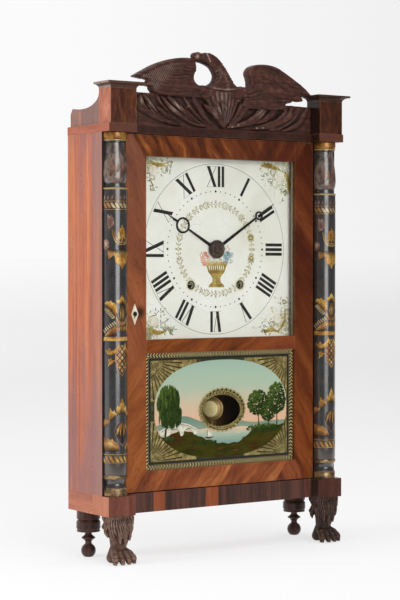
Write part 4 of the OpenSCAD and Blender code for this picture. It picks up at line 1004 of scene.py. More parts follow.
class Brushwork:
    """Painted marks, each a thin strip or ring of small faces laid on a surface.
    U of the map runs along a mark or out from its middle, and V runs across or round it."""

    def __init__(self):
        self.points, self.faces, self.uv = [], [], []

    def net(self, rows, uv, lift, closed=False):
        start = len(self.points)
        n, m = len(rows), len(rows[0])
        for r, q in zip(rows, uv):
            self.points += [(float(p[0]), float(p[1]), lift) for p in r]
            self.uv += [(float(t[0]), float(t[1])) for t in q]
        for i in range(n - 1):
            for j in range(m if closed else m - 1):
                k = (j + 1) % m
                self.faces.append((start + i * m + j, start + (i + 1) * m + j,
                                   start + (i + 1) * m + k, start + i * m + k))

    def stroke(self, path, width, lift=0.1, across=2, shade=0.25):
        path = np.array(path, float)
        width = np.broadcast_to(np.array(width, float), (len(path),))
        way = np.gradient(path, axis=0)
        way /= np.linalg.norm(way, axis=1)[:, None] + 1e-9
        left = np.stack([-way[:, 1], way[:, 0]], 1)
        side = np.linspace(-1, 1, across + 1)
        rows = [[path[i] + left[i] * width[i] * s for s in side] for i in range(len(path))]
        uv = [[(shade + (1 - shade) * i / (len(path) - 1), (s + 1) / 2) for s in side]
              for i in range(len(path))]
        self.net(rows, uv, lift)

    def leaf_path(self, points, width, lift=0.2):
        """A tapering leaf along a curve through several points."""
        path = eased(points, 5, False)
        t = np.linspace(0, 1, len(path))
        self.stroke(path, width * np.sin(np.pi * np.clip(t, 0.02, 0.98) ** 0.9) ** 0.7, lift, 4)

    def leaf(self, a, b, c, width, lift=0.1, n=10, across=4):
        """A pointed leaf whose spine bends from a past b to c."""
        t = np.linspace(0, 1, n + 1)[:, None]
        a, b, c = (np.array(p, float) for p in (a, b, c))
        path = (1 - t) ** 2 * a + 2 * t * (1 - t) * b + t ** 2 * c
        self.stroke(path, width * np.sin(np.pi * np.clip(t[:, 0], 0.02, 0.98) ** 0.75) ** 0.85,
                    lift, across)

    def blot(self, centre, radius, squash=1.0, lift=0.1, n=28, rings=3):
        """A closed patch. The radius is a number or a function of the angle."""
        angle = np.linspace(0, 2 * np.pi, n, endpoint=False)
        reach = np.array([radius(a) if callable(radius) else radius for a in angle])
        rim = np.stack([reach * np.cos(angle), squash * reach * np.sin(angle)], 1)
        steps = np.linspace(0.02, 1, rings + 1)
        rows = [[np.array(centre) + s * p for p in rim] for s in steps]
        self.net(rows, [[(0.3 + 0.7 * s, 0.5)] * n for s in steps], lift, closed=True)

    def inlay(self, outline, lift=0.12, rings=4):
        """A closed patch whose middle can see all of its outline."""
        outline = np.array(outline, float)
        x, y = outline.T
        if (x * np.roll(y, -1) - y * np.roll(x, -1)).sum() < 0:
            outline = outline[::-1]
        middle, steps = outline.mean(0), np.linspace(0.02, 1, rings + 1)
        self.net([[middle + s * (p - middle) for p in outline] for s in steps],
                 [[(0.42 + 0.58 * s, 0.5)] * len(outline) for s in steps], lift, closed=True)

    def fringe(self, rim, root, lift=0.14):
        """Leaves drawn by their bright jagged rim, which fades away towards a plain root line."""
        rim, root = np.array(rim, float), np.array(root, float)
        fine = np.vstack([a + (b - a) * t for a, b in zip(rim, rim[1:]) for t in (0, 0.34, 0.67)]
                         + [rim[-1]])
        reach = np.maximum.accumulate(fine[:, 0])
        foot = np.stack([reach, np.interp(reach, root[:, 0], root[:, 1])], 1)
        if fine[:, 1].mean() > foot[:, 1].mean():
            fine, foot = fine[::-1], foot[::-1]
        steps = np.linspace(0, 1, 6)
        self.net([foot + t * (fine - foot) for t in steps],
                 [[(t, 0.5)] * len(fine) for t in steps], lift)

    def row(self, path, count, length, width, turn=0.0, sides=8, closed=True, lift=0.1):
        """Small marks set along a path by Geometry Nodes: beads, leaves or strands of rope."""
        mesh = bpy.data.meshes.new("path")
        n = len(path)
        mesh.from_pydata([(p[0], p[1], 0) for p in path],
                         [(i, (i + 1) % n) for i in range(n if closed else n - 1)], [])
        holder = bpy.data.objects.new("path", mesh)
        scene.collection.objects.link(holder)
        modifier = holder.modifiers.new("marks", "NODES")
        modifier.node_group = marks_along()
        given = {"Count": count, "Length": length, "Width": width, "Turn": turn, "Sides": sides}
        for item in modifier.node_group.interface.items_tree:
            if item.name in given:
                modifier[item.identifier] = given[item.name]
        holder.update_tag()
        made = bpy.data.meshes.new_from_object(
            holder.evaluated_get(bpy.context.evaluated_depsgraph_get()))
        holder.modifiers.remove(modifier)
        start = len(self.points)
        self.points += [(v.co.x, v.co.y, lift) for v in made.vertices]
        self.uv += [(0.7, 0.5)] * len(made.vertices)
        self.faces += [tuple(start + i for i in face.vertices) for face in made.polygons]
        bpy.data.objects.remove(holder)
        bpy.data.meshes.remove(made)

    def patch(self, outline, lift=0.1):
        """A flat polygon, for flat grounds only."""
        start = len(self.points)
        self.points += [(float(x), float(y), lift) for x, y in outline]
        self.uv += [(0.5, 0.5)] * len(outline)
        flat = [Vector((float(x), float(y), 0)) for x, y in outline]
        for a, b, c in tessellate_polygon([flat]):
            if (flat[b] - flat[a]).cross(flat[c] - flat[a]).z < 0:
                b, c = c, b
            self.faces.append((start + a, start + b, start + c))

    def lay(self, name, place, material, body, slot):
        def area(face):
            flat = [self.points[i] for i in face]
            return abs(sum(a[0] * b[1] - b[0] * a[1] for a, b in zip(flat, flat[1:] + flat[:1])))

        faces = [face for face in self.faces if area(face) > 1e-5]
        return solid(name, [place(*p) for p in self.points], faces, material, body,
                     60, self.uv)


def bronze(name, stops, rim, metallic=0.35, coat=0.5):
    """Bronze powder rubbed through a stencil: bright in the middle, fading out at the rim."""
    made, tree, shader = finish(name, Specular_IOR_Level=0.4, Coat_Weight=coat,
                                Coat_Roughness=0.08, Metallic=metallic)
    mark = put(tree, "UVMap", uv_map="mark").outputs[0]
    where = place_of(tree)
    cut = parts_of(tree, mark)
    centre = sums(tree, "ABSOLUTE", less(tree, cut["Y"], 0.5))
    powder = speckle(tree, where, 320, 4, 0.7)
    broad = speckle(tree, where, 70, 2, 0.5)
    level = plus(tree, times(tree, powder, 0.45), times(tree, broad, 0.55))
    colour = ramp(tree, spread(tree, level, 0.36, 0.64), stops)
    if rim:
        fade = times(tree, spread(tree, cut["X"], 0.62, 0.06), rim)
        colour = over(tree, fade, colour, tone("1C130E"))
        fade = times(tree, spread(tree, centre, 0.3, 0.5), rim * 0.6)
        colour = over(tree, fade, colour, tone("6A4418"))
    rub = spread(tree, speckle(tree, where, 500, 3, 0.6), 0.66, 0.72)
    colour = over(tree, times(tree, rub, 0.7), colour, tone("2A201A"))
    tree.links.new(colour, shader.inputs["Base Color"])
    tree.links.new(spread(tree, powder, 0.3, 0.7, 0.32, 0.5), shader.inputs["Roughness"])
    return made


gold_powder = bronze("stencil_gold", [(0, "84541C"), (0.4, "B07C2C"), (0.7, "C99C45"),
                                      (1, "DEC27E")], 0.95)
amber_powder = bronze("stencil_amber", [(0, "6A4020"), (0.5, "A06C38"), (1, "C49A60")], 0.95)
cream_powder = bronze("stencil_cream", [(0, "7E6C48"), (0.5, "B8A478"), (1, "E2D4AC")], 0.9)
smoke_powder = bronze("stencil_smoke", [(0, "4A3430"), (0.5, "7C5A4E"), (1, "A0857A")], 0.8, 0.2)
dark_paint = bronze("stencil_dark", [(0, "14100E"), (0.6, "241918"), (1, "352428")], 0, 0.0)

gold, amber, cream, smoke, dark = (Brushwork() for _ in range(5))
AXIS = 4.0


def mirrored(points):
    """The other half of a motif, about its own middle, still running from left to right."""
    return [(2 * AXIS - u, v) for u, v in reversed(points)]


def both_halves(points):
    return points + mirrored(points)[1:]


def twice(draw, points, *rest):
    """Draws a closed or thin mark, and again mirrored."""
    draw(points, *rest)
    draw([(2 * AXIS - u, v) for u, v in points], *rest)


# The low motif: a crown of broad leaves over a striped gourd, and an amber leaf on each side
root = both_halves([(-29, 200), (-19, 207.8), (-12.3, 215.5), (-7.1, 220.5), (-0.8, 224), (4, 225)])
for brush, rim in (
        (amber, [(-28.5, 203), (-29, 210.3), (-28.1, 217.7), (-25, 215.4), (-20.7, 218.4),
                 (-20.1, 213.8), (-16.2, 216.8), (-16.5, 211.6)]),
        (gold, [(-17.4, 210), (-15.5, 217.3), (-16.7, 224.6), (-14.7, 234), (-12.3, 229.3),
                (-10, 227), (-8.7, 230.7), (-6.1, 224.9)])):
    brush.fringe(rim, root)
    brush.fringe(mirrored(rim), root)
gold.fringe(both_halves([(-6.4, 222), (-4.2, 227.8), (-5, 233), (-3.8, 237.6), (-1.3, 234.4),
                         (0.6, 240.1), (4, 248.8)]), root, 0.16)
twice(amber.stroke, [(-13, 217), (-12.6, 224), (-14.2, 230)], 0.5, 0.2)
amber.stroke([(4, 226), (4, 236), (4, 244)], 0.55, 0.2)
smoke.inlay([(-9, 197.7), (-6.1, 207), (-1.9, 212.1), (4, 213.7), (9.8, 211.6), (14.1, 207),
             (17, 197.7), (13.6, 188), (8, 181), (4.6, 175.3), (1, 180), (-5, 188)], 0.14, 5)
dark.inlay([(-8, 197.7), (-5.2, 206.4), (-1.4, 211), (4, 212.4), (9.4, 210.6), (13.2, 206.4),
            (16, 197.7), (12.8, 189), (7.4, 182.4), (4.5, 177.6), (1.4, 181.4), (-4.2, 188.6)],
           0.18, 5)
for brush, points, width in (
        (cream, [(3.6, 212), (-4, 206), (-8.2, 198.2), (-6.4, 191)], 0.5),
        (gold, [(4.2, 211), (-2.8, 203.8), (-4.2, 193.4)], 1.5),
        (gold, [(4.6, 209.6), (-0.4, 200.6), (1.2, 190.6)], 1.1),
        (gold, [(5.2, 210.8), (8.4, 202.2), (6.4, 190.4)], 1.9),
        (gold, [(6, 211.2), (13.9, 205.9), (13.2, 195.6)], 1.2)):
    brush.leaf(points[0], points[1], points[-1], width, 0.24)
low_rim = [(-27.5, 189.9), (-21.8, 188.9), (-12.9, 186.2), (-11.8, 187.8), (-8.2, 184.1),
           (-3.5, 179.9), (-1, 174.6)]
low_root = [(-27.5, 168.6), (-12, 168), (-1, 169.5)]
amber.fringe(low_rim, low_root)
amber.fringe(mirrored(low_rim), mirrored(low_root))
twice(gold.leaf_path, [(-27, 178), (-16, 181), (-6, 175)], 1.5, 0.2)

# The middle motif: leaves round a teardrop bud in a cup, toothed crescents, a band, and a pine
# cone that hangs under it
gold.fringe(both_halves([(-1.5, 386.4), (-3.8, 389.1), (-4.6, 392.1), (-0.7, 393.6), (1, 396.6),
                         (4, 400.4)]), [(-4, 384), (4, 388), (12, 384)])
rim = [(-24.1, 388.2), (-20, 391.4), (-16.1, 390.2), (-14, 392.6), (-11, 389.4), (-7.6, 388.6),
       (-5.3, 385.3), (-4.4, 379.3), (-4, 373)]
edge = [(-24.1, 386.6), (-16.9, 380.8), (-12.1, 374.8), (-7, 368), (-4, 365)]
gold.fringe(rim, edge)
gold.fringe(mirrored(rim), mirrored(edge))
twice(gold.stroke, [(-24, 385.6), (-16.9, 380), (-12.1, 374), (-7.6, 367.6)], 0.45, 0.2)
for i in range(7):
    t = i / 6
    u, v = -22 + 12 * t, 379.6 - 12.6 * t ** 1.1
    twice(cream.stroke, [(u - 2.5, v - 1.3), (u, v), (u + 2.3, v + 1.4)], 0.9, 0.2, 2, 0.62)
    u, v = -25 + 18 * t, 346.4 + 12.6 * t ** 0.8
    twice(cream.stroke, [(u - 2.0, v + 2.1), (u, v), (u + 1.9, v - 2.0)], 0.9, 0.2, 2, 0.62)
arc = [(-24, 340), (-20.6, 343), (-15.3, 348.6), (-8.4, 353.2), (-4.2, 355.6)]
twice(gold.stroke, arc, 0.5, 0.22)
amber.fringe(arc, [(-24, 339.6), (-4.2, 339.6)], 0.14)
amber.fringe(mirrored(arc), [(12.2, 339.6), (32, 339.6)], 0.14)
dark.inlay([(-1.8, 372), (-0.4, 380), (1.6, 385), (4, 389), (6.4, 385), (8.4, 380), (9.8, 372),
            (7.6, 364), (4, 361.4), (0.4, 364)], 0.18)
for u in (-0.6, 4, 8.6):
    gold.leaf((4 + 0.2 * (u - 4), 385), (u, 375), (4 + 0.5 * (u - 4), 362), 0.8, 0.22)
cup = both_halves([(-6.1, 371.5), (-5.8, 362.7), (-1.5, 357), (4, 355.4)])
amber.fringe(cup, both_halves([(-4.6, 374), (-1.5, 365.2), (4, 362.4)]), 0.24)
twice(cream.leaf_path, [(-6.2, 374), (-4.8, 366), (-1, 359.6)], 0.4, 0.26)
for lean in (-8.4, -5, -1.7, 1.7, 5, 8.4):
    gold.leaf((4 + 0.6 * lean, 355), (4 + 0.9 * lean, 351), (4 + 1.2 * lean, 346.6), 1.2, 0.2)
gold.stroke([(u, 335.5) for u in np.linspace(-27.5, 32, 44)], 3.1, 0.22, shade=0.8)
for i in range(6):
    twice(amber.stroke, [(-26 + 2.4 * i, 332.8), (-26 + 2.4 * i, 335)], 0.4, 0.26)
hook = [(-22.5, 320.4), (-21, 317.6), (-17, 315.2), (-12.2, 314.9), (-6.9, 318), (-1.9, 323.9),
        (-2.3, 329.3)]
twice(gold.leaf_path, hook, 3.0, 0.2)
twice(amber.inlay, [(-17.8, 318.6), (-15.4, 322.6), (-12.6, 318.4)], 0.24)
leaf = [(-18.3, 306), (-15.6, 305.4), (-13, 307.8), (-12.2, 304.6), (-6.5, 303.3), (-12.2, 298.6),
        (-18.1, 294.6), (-16.6, 300.8)]
twice(gold.inlay, leaf, 0.16)
twice(amber.inlay, [(-15.6, 304), (-13.6, 303.6), (-13.4, 300.6), (-15.6, 299.4)], 0.22)
cone = both_halves([(4, 326.6), (-0.7, 324.6), (-5.4, 319.4), (-7.3, 311), (-6.8, 301),
                    (-3.7, 290.3), (0.6, 283.6), (4, 279.4)][::-1])
amber.inlay(cone, 0.16, 5)
for m, v in ((0, 316.4), (0, 307.2), (0, 298), (0, 288.8), (4, 311.8), (4, 302.6), (4, 293.6),
             (3, 320), (-4, 311.8), (-4, 302.6), (-4, 293.6), (-3, 320)):
    (gold if m else cream).blot((4 + m, v), 1.7 - 0.12 * abs(m), 1.45, 0.2, 8, 2)
for lean in (-1, 1):
    for i in range(-1, 6):
        ends = [(4 + lean * k, 321 - 9.2 * i - 1.15 * k) for k in np.linspace(-11, 11, 12)]
        held = [p for p in ends
                if depth_inside(*(np.array([q]) for q in p), np.array(cone))[0] > 0.3]
        dark.stroke(held[::lean] or ends[:2], 0.7, 0.22, 1)

# The upper motif: a tulip over a dark fruit, a flower on each side, and three hanging leaves
for points, width in (([(-11.1, 497.5), (-9.5, 486.6), (-4.4, 478), (4, 474.7)], 0.75),
                      ([(-8.2, 495), (-6.6, 487), (-2.6, 480.6), (3, 478)], 0.5)):
    twice(gold.stroke, eased(points, 4, False), width, 0.2)
gold.inlay([(-2.6, 483), (-3, 491), (-1, 498.4), (4, 504.4), (9, 498.4), (11, 491), (10.6, 483),
            (4, 477.6)])
dark.leaf((4, 479), (1.6, 490), (-0.8, 498), 0.55, 0.2)
dark.inlay([(-3.5, 471.6), (-0.6, 475.4), (4, 476.4), (8.6, 475.4), (11.5, 471.6), (8, 466.6),
            (0, 466.6)], 0.22)
twice(smoke.inlay, [(-18.6, 520), (-12.4, 519), (-9, 512.6), (-8.2, 505), (-12, 500.6),
                    (-17, 498.4), (-19.6, 507)], 0.14)
twice(smoke.inlay, [(-26, 481.4), (-21, 483), (-16.4, 479), (-16.6, 471), (-21, 467.4),
                    (-26, 468.6)], 0.14)
twice(cream.inlay, [(-24, 478), (-20.6, 478.6), (-20, 473), (-23.6, 472)], 0.2)
root = [(-18.4, 470.6), (-12, 467.6), (-6.1, 467.2), (4, 469), (14, 467.2), (20, 467.6),
        (26.4, 470.6)]
gold.fringe([(-8.4, 462), (-6.6, 449.6), (-2.7, 446.7), (1, 444), (4, 438), (7, 444), (10.7, 446.7),
             (14.6, 449.6), (16.4, 462)], root, 0.16)
rim = [(-18.6, 467), (-18.4, 461.2), (-16.9, 453.6), (-11.2, 457.6), (-7.6, 459.6)]
amber.fringe(rim, root)
amber.fringe(mirrored(rim), root)
twice(amber.stroke, [(4, 466), (3.4, 456), (4, 446)], 0.5, 0.22)

# Muted leaves and buds on the swelling, and the two striped bands
for u, low, high, width, brush in ((-12, 576, 604, 3.6, smoke), (-2.6, 582, 596, 2.6, smoke),
                                   (4.6, 572, 602, 3.8, smoke), (12, 580, 600, 3.2, smoke),
                                   (17, 574, 606, 3.4, smoke)):
    brush.leaf((u - 2, low), (u + 3, 0.5 * (low + high)), (u, high), width, 0.14)
amber.leaf((-6, 580), (-3, 588), (-7, 594), 0.8, 0.18)
for i in range(9):
    u = -31.2 + 7.3 * i
    stripe = amber if i in (1, 6) else gold
    stripe.leaf_path([(u, 161.4), (u + 2.6, 160), (u + 5.4, 155), (u + 8.8, 153)], 2.1, 0.2)
    # The upper band's middle stripes are cream: a painted highlight where the lacquer's sheen
    # falls.
    u = -27 + 6.5 * i
    (cream if 1 < i < 6 else amber).leaf_path([(u, 536.4), (u + 1.8, 535.4), (u + 5.4, 530.6),
                                               (u + 7.6, 529.4)], 2.0, 0.2)
    smoke.leaf((u + 1, 540.6), (u + 3.4, 544), (u + 2.6, 548.6), 1.5, 0.2)
for z, w in ((164.2, 0.42), (151.8, 0.42), (539.2, 0.36), (527, 0.32)):
    gold.stroke([(u, z) for u in np.linspace(-28, 32, 44)], w, 0.2, shade=0.7)

MOTIF_TURN = math.radians(-8)
for side, x in zip(("left", "right"), COLUMN_X):
    def on_column(u, v, lift, x=x):
        r = column_radius(v)
        a = MOTIF_TURN + u / r
        a = max(-math.pi / 2, min(math.pi / 2, a))
        r += lift
        return spot(x + r * math.sin(a), COLUMN_Y - r * math.cos(a), v)
    for word, brush, powder in (("gold", gold, gold_powder), ("amber", amber, amber_powder),
                                ("cream", cream, cream_powder), ("smoke", smoke, smoke_powder),
                                ("dark", dark, dark_paint)):
        brush.lay(f"column_{side}_{word}", on_column, powder, "case", "ebonised")

# ---------------------------------------------------------------------------------------------
# The dial: a pine board gessoed and painted off-white, with black chapters, minute dots, a
# wreath, an urn between two sprays of flowers, and a shell-work corner in each spandrel.
# ---------------------------------------------------------------------------------------------
enamel, tree, shader = finish("dial_ground", Specular_IOR_Level=0.35, Coat_Weight=0.12,
                              Coat_Roughness=0.3)
where = place_of(tree)
age = speckle(tree, where, 9, 4, 0.55, 0.4)
fine = speckle(tree, where, 160, 4, 0.7)
colour = ramp(tree, age, [(0.25, "E6E2D6"), (0.45, "F1EFE8"), (0.62, "F6F4F1"), (0.8, "F9F7F5")])
colour = over(tree, times(tree, spread(tree, fine, 0.6, 0.72), 0.28), colour, tone("C9BE9C"))
craze = put(tree, "TexVoronoi", {"Vector": where, "Scale": 46.0, "Randomness": 1.0},
            feature="DISTANCE_TO_EDGE").outputs["Distance"]
crack = times(tree, spread(tree, craze, 0.02, 0.006), spread(tree, age, 0.5, 0.62))
colour = over(tree, times(tree, crack, 0.22), colour, tone("9C8F72"))
surface(shader, colour, spread(tree, fine, 0.3, 0.7, 0.42, 0.58),
        raised(tree, less(tree, fine, times(tree, crack, 0.6)), 0.15, 0.0002))
dress(enamel, "dial_panel")

DIAL_Y = 40
DIAL = np.array((0.0, 469.5))
ink, grey_ink, olive, rose, coral, teal = (Brushwork() for _ in range(6))
leafy, blush, wash, faded, gilt_urn = (Brushwork() for _ in range(5))


def ring(centre, radius, n=120):
    return [(centre[0] + radius * math.cos(2 * math.pi * i / n),
             centre[1] + radius * math.sin(2 * math.pi * i / n)) for i in range(n)]


def hoop(brush, centre, radius, width, n=120, lift=0.1, squash=1.0):
    path = ring((0, 0), radius, n)
    path.append(path[0])
    brush.stroke([(centre[0] + x, centre[1] + y * squash) for x, y in path], width, lift, shade=0.7)


hoop(grey_ink, DIAL, 132.5, 0.32, 160)
for text, hour in (("XII", 0), ("I", 1), ("II", 2), ("III", 3), ("IIII", 4), ("V", 5), ("VI", 6),
                   ("VII", 7), ("VIII", 8), ("IX", 9), ("X", 10), ("XI", 11)):
    wide = {"I": 7.4, "V": 15.4, "X": 20.4}
    reach = sum(wide[letter] for letter in text)
    spin = math.radians(-30 * hour)
    turn = np.array([[math.cos(spin), -math.sin(spin)], [math.sin(spin), math.cos(spin)]])

    def bar(a, b, width, lift=0.12):
        """A leaning bar whose ends are cut square to the chapter ring."""
        corners = [(a[0] - width / 2, a[1]), (a[0] + width / 2, a[1]),
                   (b[0] + width / 2, b[1]), (b[0] - width / 2, b[1])]
        ink.patch([DIAL + turn @ np.array(p) for p in corners], lift)

    at = -reach / 2
    low, high = 97, 129
    for letter in text:
        if letter == "I":
            bar((at + 3.7, low), (at + 3.7, high), 4.7)
        elif letter == "V":
            bar((at + 8.2, low), (at + 3.4, high), 5.3)
            bar((at + 8.6, low), (at + 14.2, high), 0.9, 0.14)
        else:
            bar((at + 16.6, low), (at + 3.8, high), 5.8)
            bar((at + 1.6, low), (at + 18.6, high), 0.9, 0.14)
        for z in (low, high):
            bar((at + 0.7, z - 0.3), (at + 0.7, z + 0.3), 0.2, 0.16)
            ink.patch([DIAL + turn @ np.array(p) for p in
                       ((at + 0.6, z - 0.15), (at + wide[letter] - 0.6, z - 0.15),
                        (at + wide[letter] - 0.6, z + 0.15), (at + 0.6, z + 0.15))], 0.16)
        at += wide[letter]
ink.row(ring(DIAL, 90), 60, 1.0, 1.0)
ink.row(ring(DIAL, 90), 12, 1.9, 1.9, lift=0.14)

# The wreath: paired leaves and small open flowers round a faint stalk
hoop(faded, DIAL, 70, 0.35, 120, 0.08)
for radius, turn, count in ((73, 0.75, 60), (67, -0.75, 60)):
    faded.row(ring(DIAL, radius, 144), count, 2.9, 1.0, turn, 6, lift=0.12)
for radius, count, size in ((70, 32, 2.1), (74.6, 24, 1.3), (65.6, 24, 1.3)):
    for at in ring(DIAL, radius, count):
        hoop(faded, at, size, 0.45, 10, 0.16)
blush.row(ring(DIAL, 70, 144), 32, 1.5, 1.5, 0.4, 9, lift=0.14)
faded.row(ring(DIAL, 72.8, 72), 26, 1.5, 0.7, -0.5, 6, lift=0.18)
for x, z in ((67.5, 18.4), (68.6, -14)):
    for at in ring(DIAL + (x, z), 3.0, 6):
        (leafy, gilt_urn)[int(at[0] * 7) % 2].blot(at, 1.7, 1, 0.2, 8, 1)
    hoop(faded, DIAL + (x, z), 5.6, 0.5, 16, 0.2)
    blush.blot(DIAL + (x, z), 1.3, 1, 0.24, 8, 1)

# Round each winding hole a pale ring, and a black ring painted as the shade at the hole's mouth
for u in (-46.5, 46.5):
    hoop(wash, (u, 414), 7.9, 1.4, 28, 0.3)
    hoop(ink, (u, 414), 6.0, 1.0, 28, 0.32)

# The urn: a dotted rim, a fluted bowl, a waisted stem and a foot, with flowers over it
bowl = [(-20, 451.5), (-19.2, 447), (-16, 441), (-13.5, 434), (-8, 428.5), (-5.5, 424), (-6, 418),
        (-12, 413.5), (-13, 411)]
gilt_urn.patch(bowl + [(3 - x, z) for x, z in reversed(bowl)], 0.1)
for z, size in ((449.8, 1.0), (446.6, 0.55), (430.5, 0.5), (416, 0.5)):
    half = 19 if z > 440 else 9 if z > 420 else 6.5
    blush.row([(u, z) for u in np.linspace(1.5 - half, 1.5 + half, 12)], int(half * 0.95), size,
              size, closed=False, lift=0.16)
for i in range(9):
    u = -14.1 + 3.9 * i
    if i < 8:
        blush.leaf((u + 1.95, 444.6), (u + 1.95, 440), (1.5 + (u + 0.45) * 0.9, 436), 0.85, 0.14)
    olive.leaf((u, 446), (u, 441), (1.5 + (u - 1.5) * 0.86, 433.5), 0.5, 0.15)
olive.stroke([(-13.4, 434), (-8.4, 432.4), (1.5, 431.6), (11.4, 432.4), (16.4, 434)], 0.4, 0.15)
for way in (-1, 1):
    olive.stroke([(1.5 + way * (1.5 - x), z) for x, z in bowl][::way], 0.4, 0.16)
for u in (-2.6, 1.5, 5.6):
    olive.leaf((u, 428), (1.5 + (u - 1.5) * 0.6, 422), (u, 414), 1.3, 0.14)
grey_ink.stroke([(-13.5, 410.6), (16.5, 410.6)], 0.35, 0.14)
rng = np.random.default_rng(7)
for brush, middle, reach in ((coral, (-20, 454.5), (9, 11)), (teal, (24.5, 457), (10, 10))):
    for i in range(26):
        u, v = np.array(middle) + rng.uniform(-0.8, 0.8, 2) * reach
        hoop(brush, (u, v), rng.uniform(1.5, 2.5), 0.55, 9, 0.14 + 0.004 * i)
    for i in range(12):
        u, v = np.array(middle) + rng.uniform(-0.95, 0.95, 2) * reach
        brush.blot((u, v), rng.uniform(0.5, 1.0), 1, 0.3 + 0.003 * i, 7, 1)
for i in range(26):
    u, v = rng.uniform(-22, 27), rng.uniform(450, 460)
    leafy.leaf((u, v), (u + 1, v + 1.4), (u + 1.6, v + 3.2), 0.8, 0.12, 4, 2)
for u, v in ((19, 470), (23, 474), (26, 470), (-6, 462), (10, 463)):
    hoop(coral, (u, v), 1.4, 0.45, 9, 0.14)

# The spandrels: gilt leaves round a rose, ringed shells, sprigs, and a stippled ground
for leaves, flower, shells, stems, dots in (
        (([(-121, 602.5), (-107, 592.5), (-90, 602)], 2.7, [(-124, 575), (-118, 572), (-116, 562)],
          1.0), (-115.5, 589, 6.2), ((-95, 591, 5.2), (-86, 600, 3.4)),
         ((-118, -84, 583, 606), (-125, -113, 556, 588)), (-127, 608, 9, 24)),
        (([(87, 601.5), (108, 606.5), (132, 592)], 3.1, [(135, 594), (147, 578), (143, 558)], 3.0),
         (124.5, 586, 7.6), ((112, 592, 5), (136, 561, 3)),
         ((84, 112, 578, 606), (128, 148, 545, 575)), (136, 592, 32, 34)),
        (([(-125, 349), (-110, 336.5), (-90, 345)], 2.9, [(-124, 362), (-117, 372), (-110, 366)],
          0.6), (-113, 358, 5.6), ((-84, 345, 3.6), (-98, 353, 4.2)),
         ((-122, -92, 350, 378), (-100, -78, 338, 350)), (-127, 340, 8, 20)),
        (([(94, 337), (108, 346.5), (124, 336.5)], 2.6, [(118, 338), (142, 350), (134, 378)], 1.7),
         (121, 359, 5.8), ((110, 350, 4.6), (134, 386, 3)),
         ((88, 106, 336, 350), (112, 148, 352, 396)), (137, 351, 32, 30))):
    for path, width in (leaves[0:2], leaves[2:4]):
        gilt_urn.leaf(*path, width * 1.25, 0.14, 12, 4)
        olive.leaf(*path, width * 0.35, 0.2, 12, 2)
        olive.row([(path[0][0] + t * (path[2][0] - path[0][0]),
                    path[0][1] + t * (path[2][1] - path[0][1]) + 3) for t in (0, 0.5, 1)],
                  9, 1.4, 0.5, 0.9, 6, False, 0.12)
    u, v, size = flower
    blush.blot((u, v), size * 1.25, 1.0, 0.16)
    hoop(leafy, (u, v), size * 1.3, 0.16, 24, 0.18)
    rose.blot((u, v), lambda a: size * (0.85 + 0.12 * math.sin(5 * a)), 1.0, 0.2)
    for i in range(9):
        a = 2 * math.pi * i / 9
        blush.leaf((u + 0.2 * size * math.cos(a), v + 0.2 * size * math.sin(a)),
                   (u + 0.6 * size * math.cos(a + 0.5), v + 0.6 * size * math.sin(a + 0.5)),
                   (u + 0.95 * size * math.cos(a + 0.2), v + 0.95 * size * math.sin(a + 0.2)),
                   1.2, 0.24, 5, 2)
    for u, v, size in shells:
        hoop(olive, (u, v), size, 0.3, 20, 0.12)
        hoop(leafy, (u, v), size * 1.2, 0.3, 20, 0.12)
        olive.row(ring((u, v), size * 0.62, 16), 9, 0.6, 0.6, lift=0.12)
    for low, high, foot, head in stems:
        for i in range(20):
            u, v, a = rng.uniform(low, high), rng.uniform(foot, head), rng.uniform(0, 2 * math.pi)
            tip = (u + 4.5 * math.cos(a), v + 4.5 * math.sin(a))
            for k in (0.3, 0.65, 1.0):
                w = (u + (tip[0] - u) * k, v + (tip[1] - v) * k)
                (grey_ink, leafy, olive)[i % 3].leaf(w, (w[0] + 1, w[1] + 1),
                                                     (w[0] + 2.2, w[1] + 0.7), 0.7, 0.13, 4, 2)
    for i in range(130):
        u, v = rng.normal(dots[0], dots[2] * 0.5 + 5), rng.normal(dots[1], dots[3] * 0.5)
        if -139 < u < 148 and 333 < v < 609 and math.hypot(u, v - 469.5) > 139:
            wash.blot((u, v), rng.uniform(1.2, 3.0), 1, 0.03 + 0.0003 * i, 9, 1)
    for i in range(70):
        u, v = rng.normal(dots[0], dots[2] * 0.5 + 4), rng.normal(dots[1], dots[3] * 0.5)
        if -138 < u < 147 and 334 < v < 608 and math.hypot(u, v - 469.5) > 139:
            hoop((faded, olive)[i % 2], (u, v), rng.uniform(1.0, 2.4), 0.26, 9, 0.1)
    for i in range(700):
        u, v = rng.normal(dots[0], dots[2] * 0.6 + 4), rng.normal(dots[1], dots[3] * 0.6)
        if -141 < u < 150 and 331 < v < 611 and math.hypot(u, v - 469.5) > 137:
            (olive, leafy, grey_ink)[i % 3].blot((u, v), rng.uniform(0.25, 0.65), 1, 0.08, 6, 1)


def on_dial(u, v, lift):
    return spot(u, DIAL_Y - lift, v)


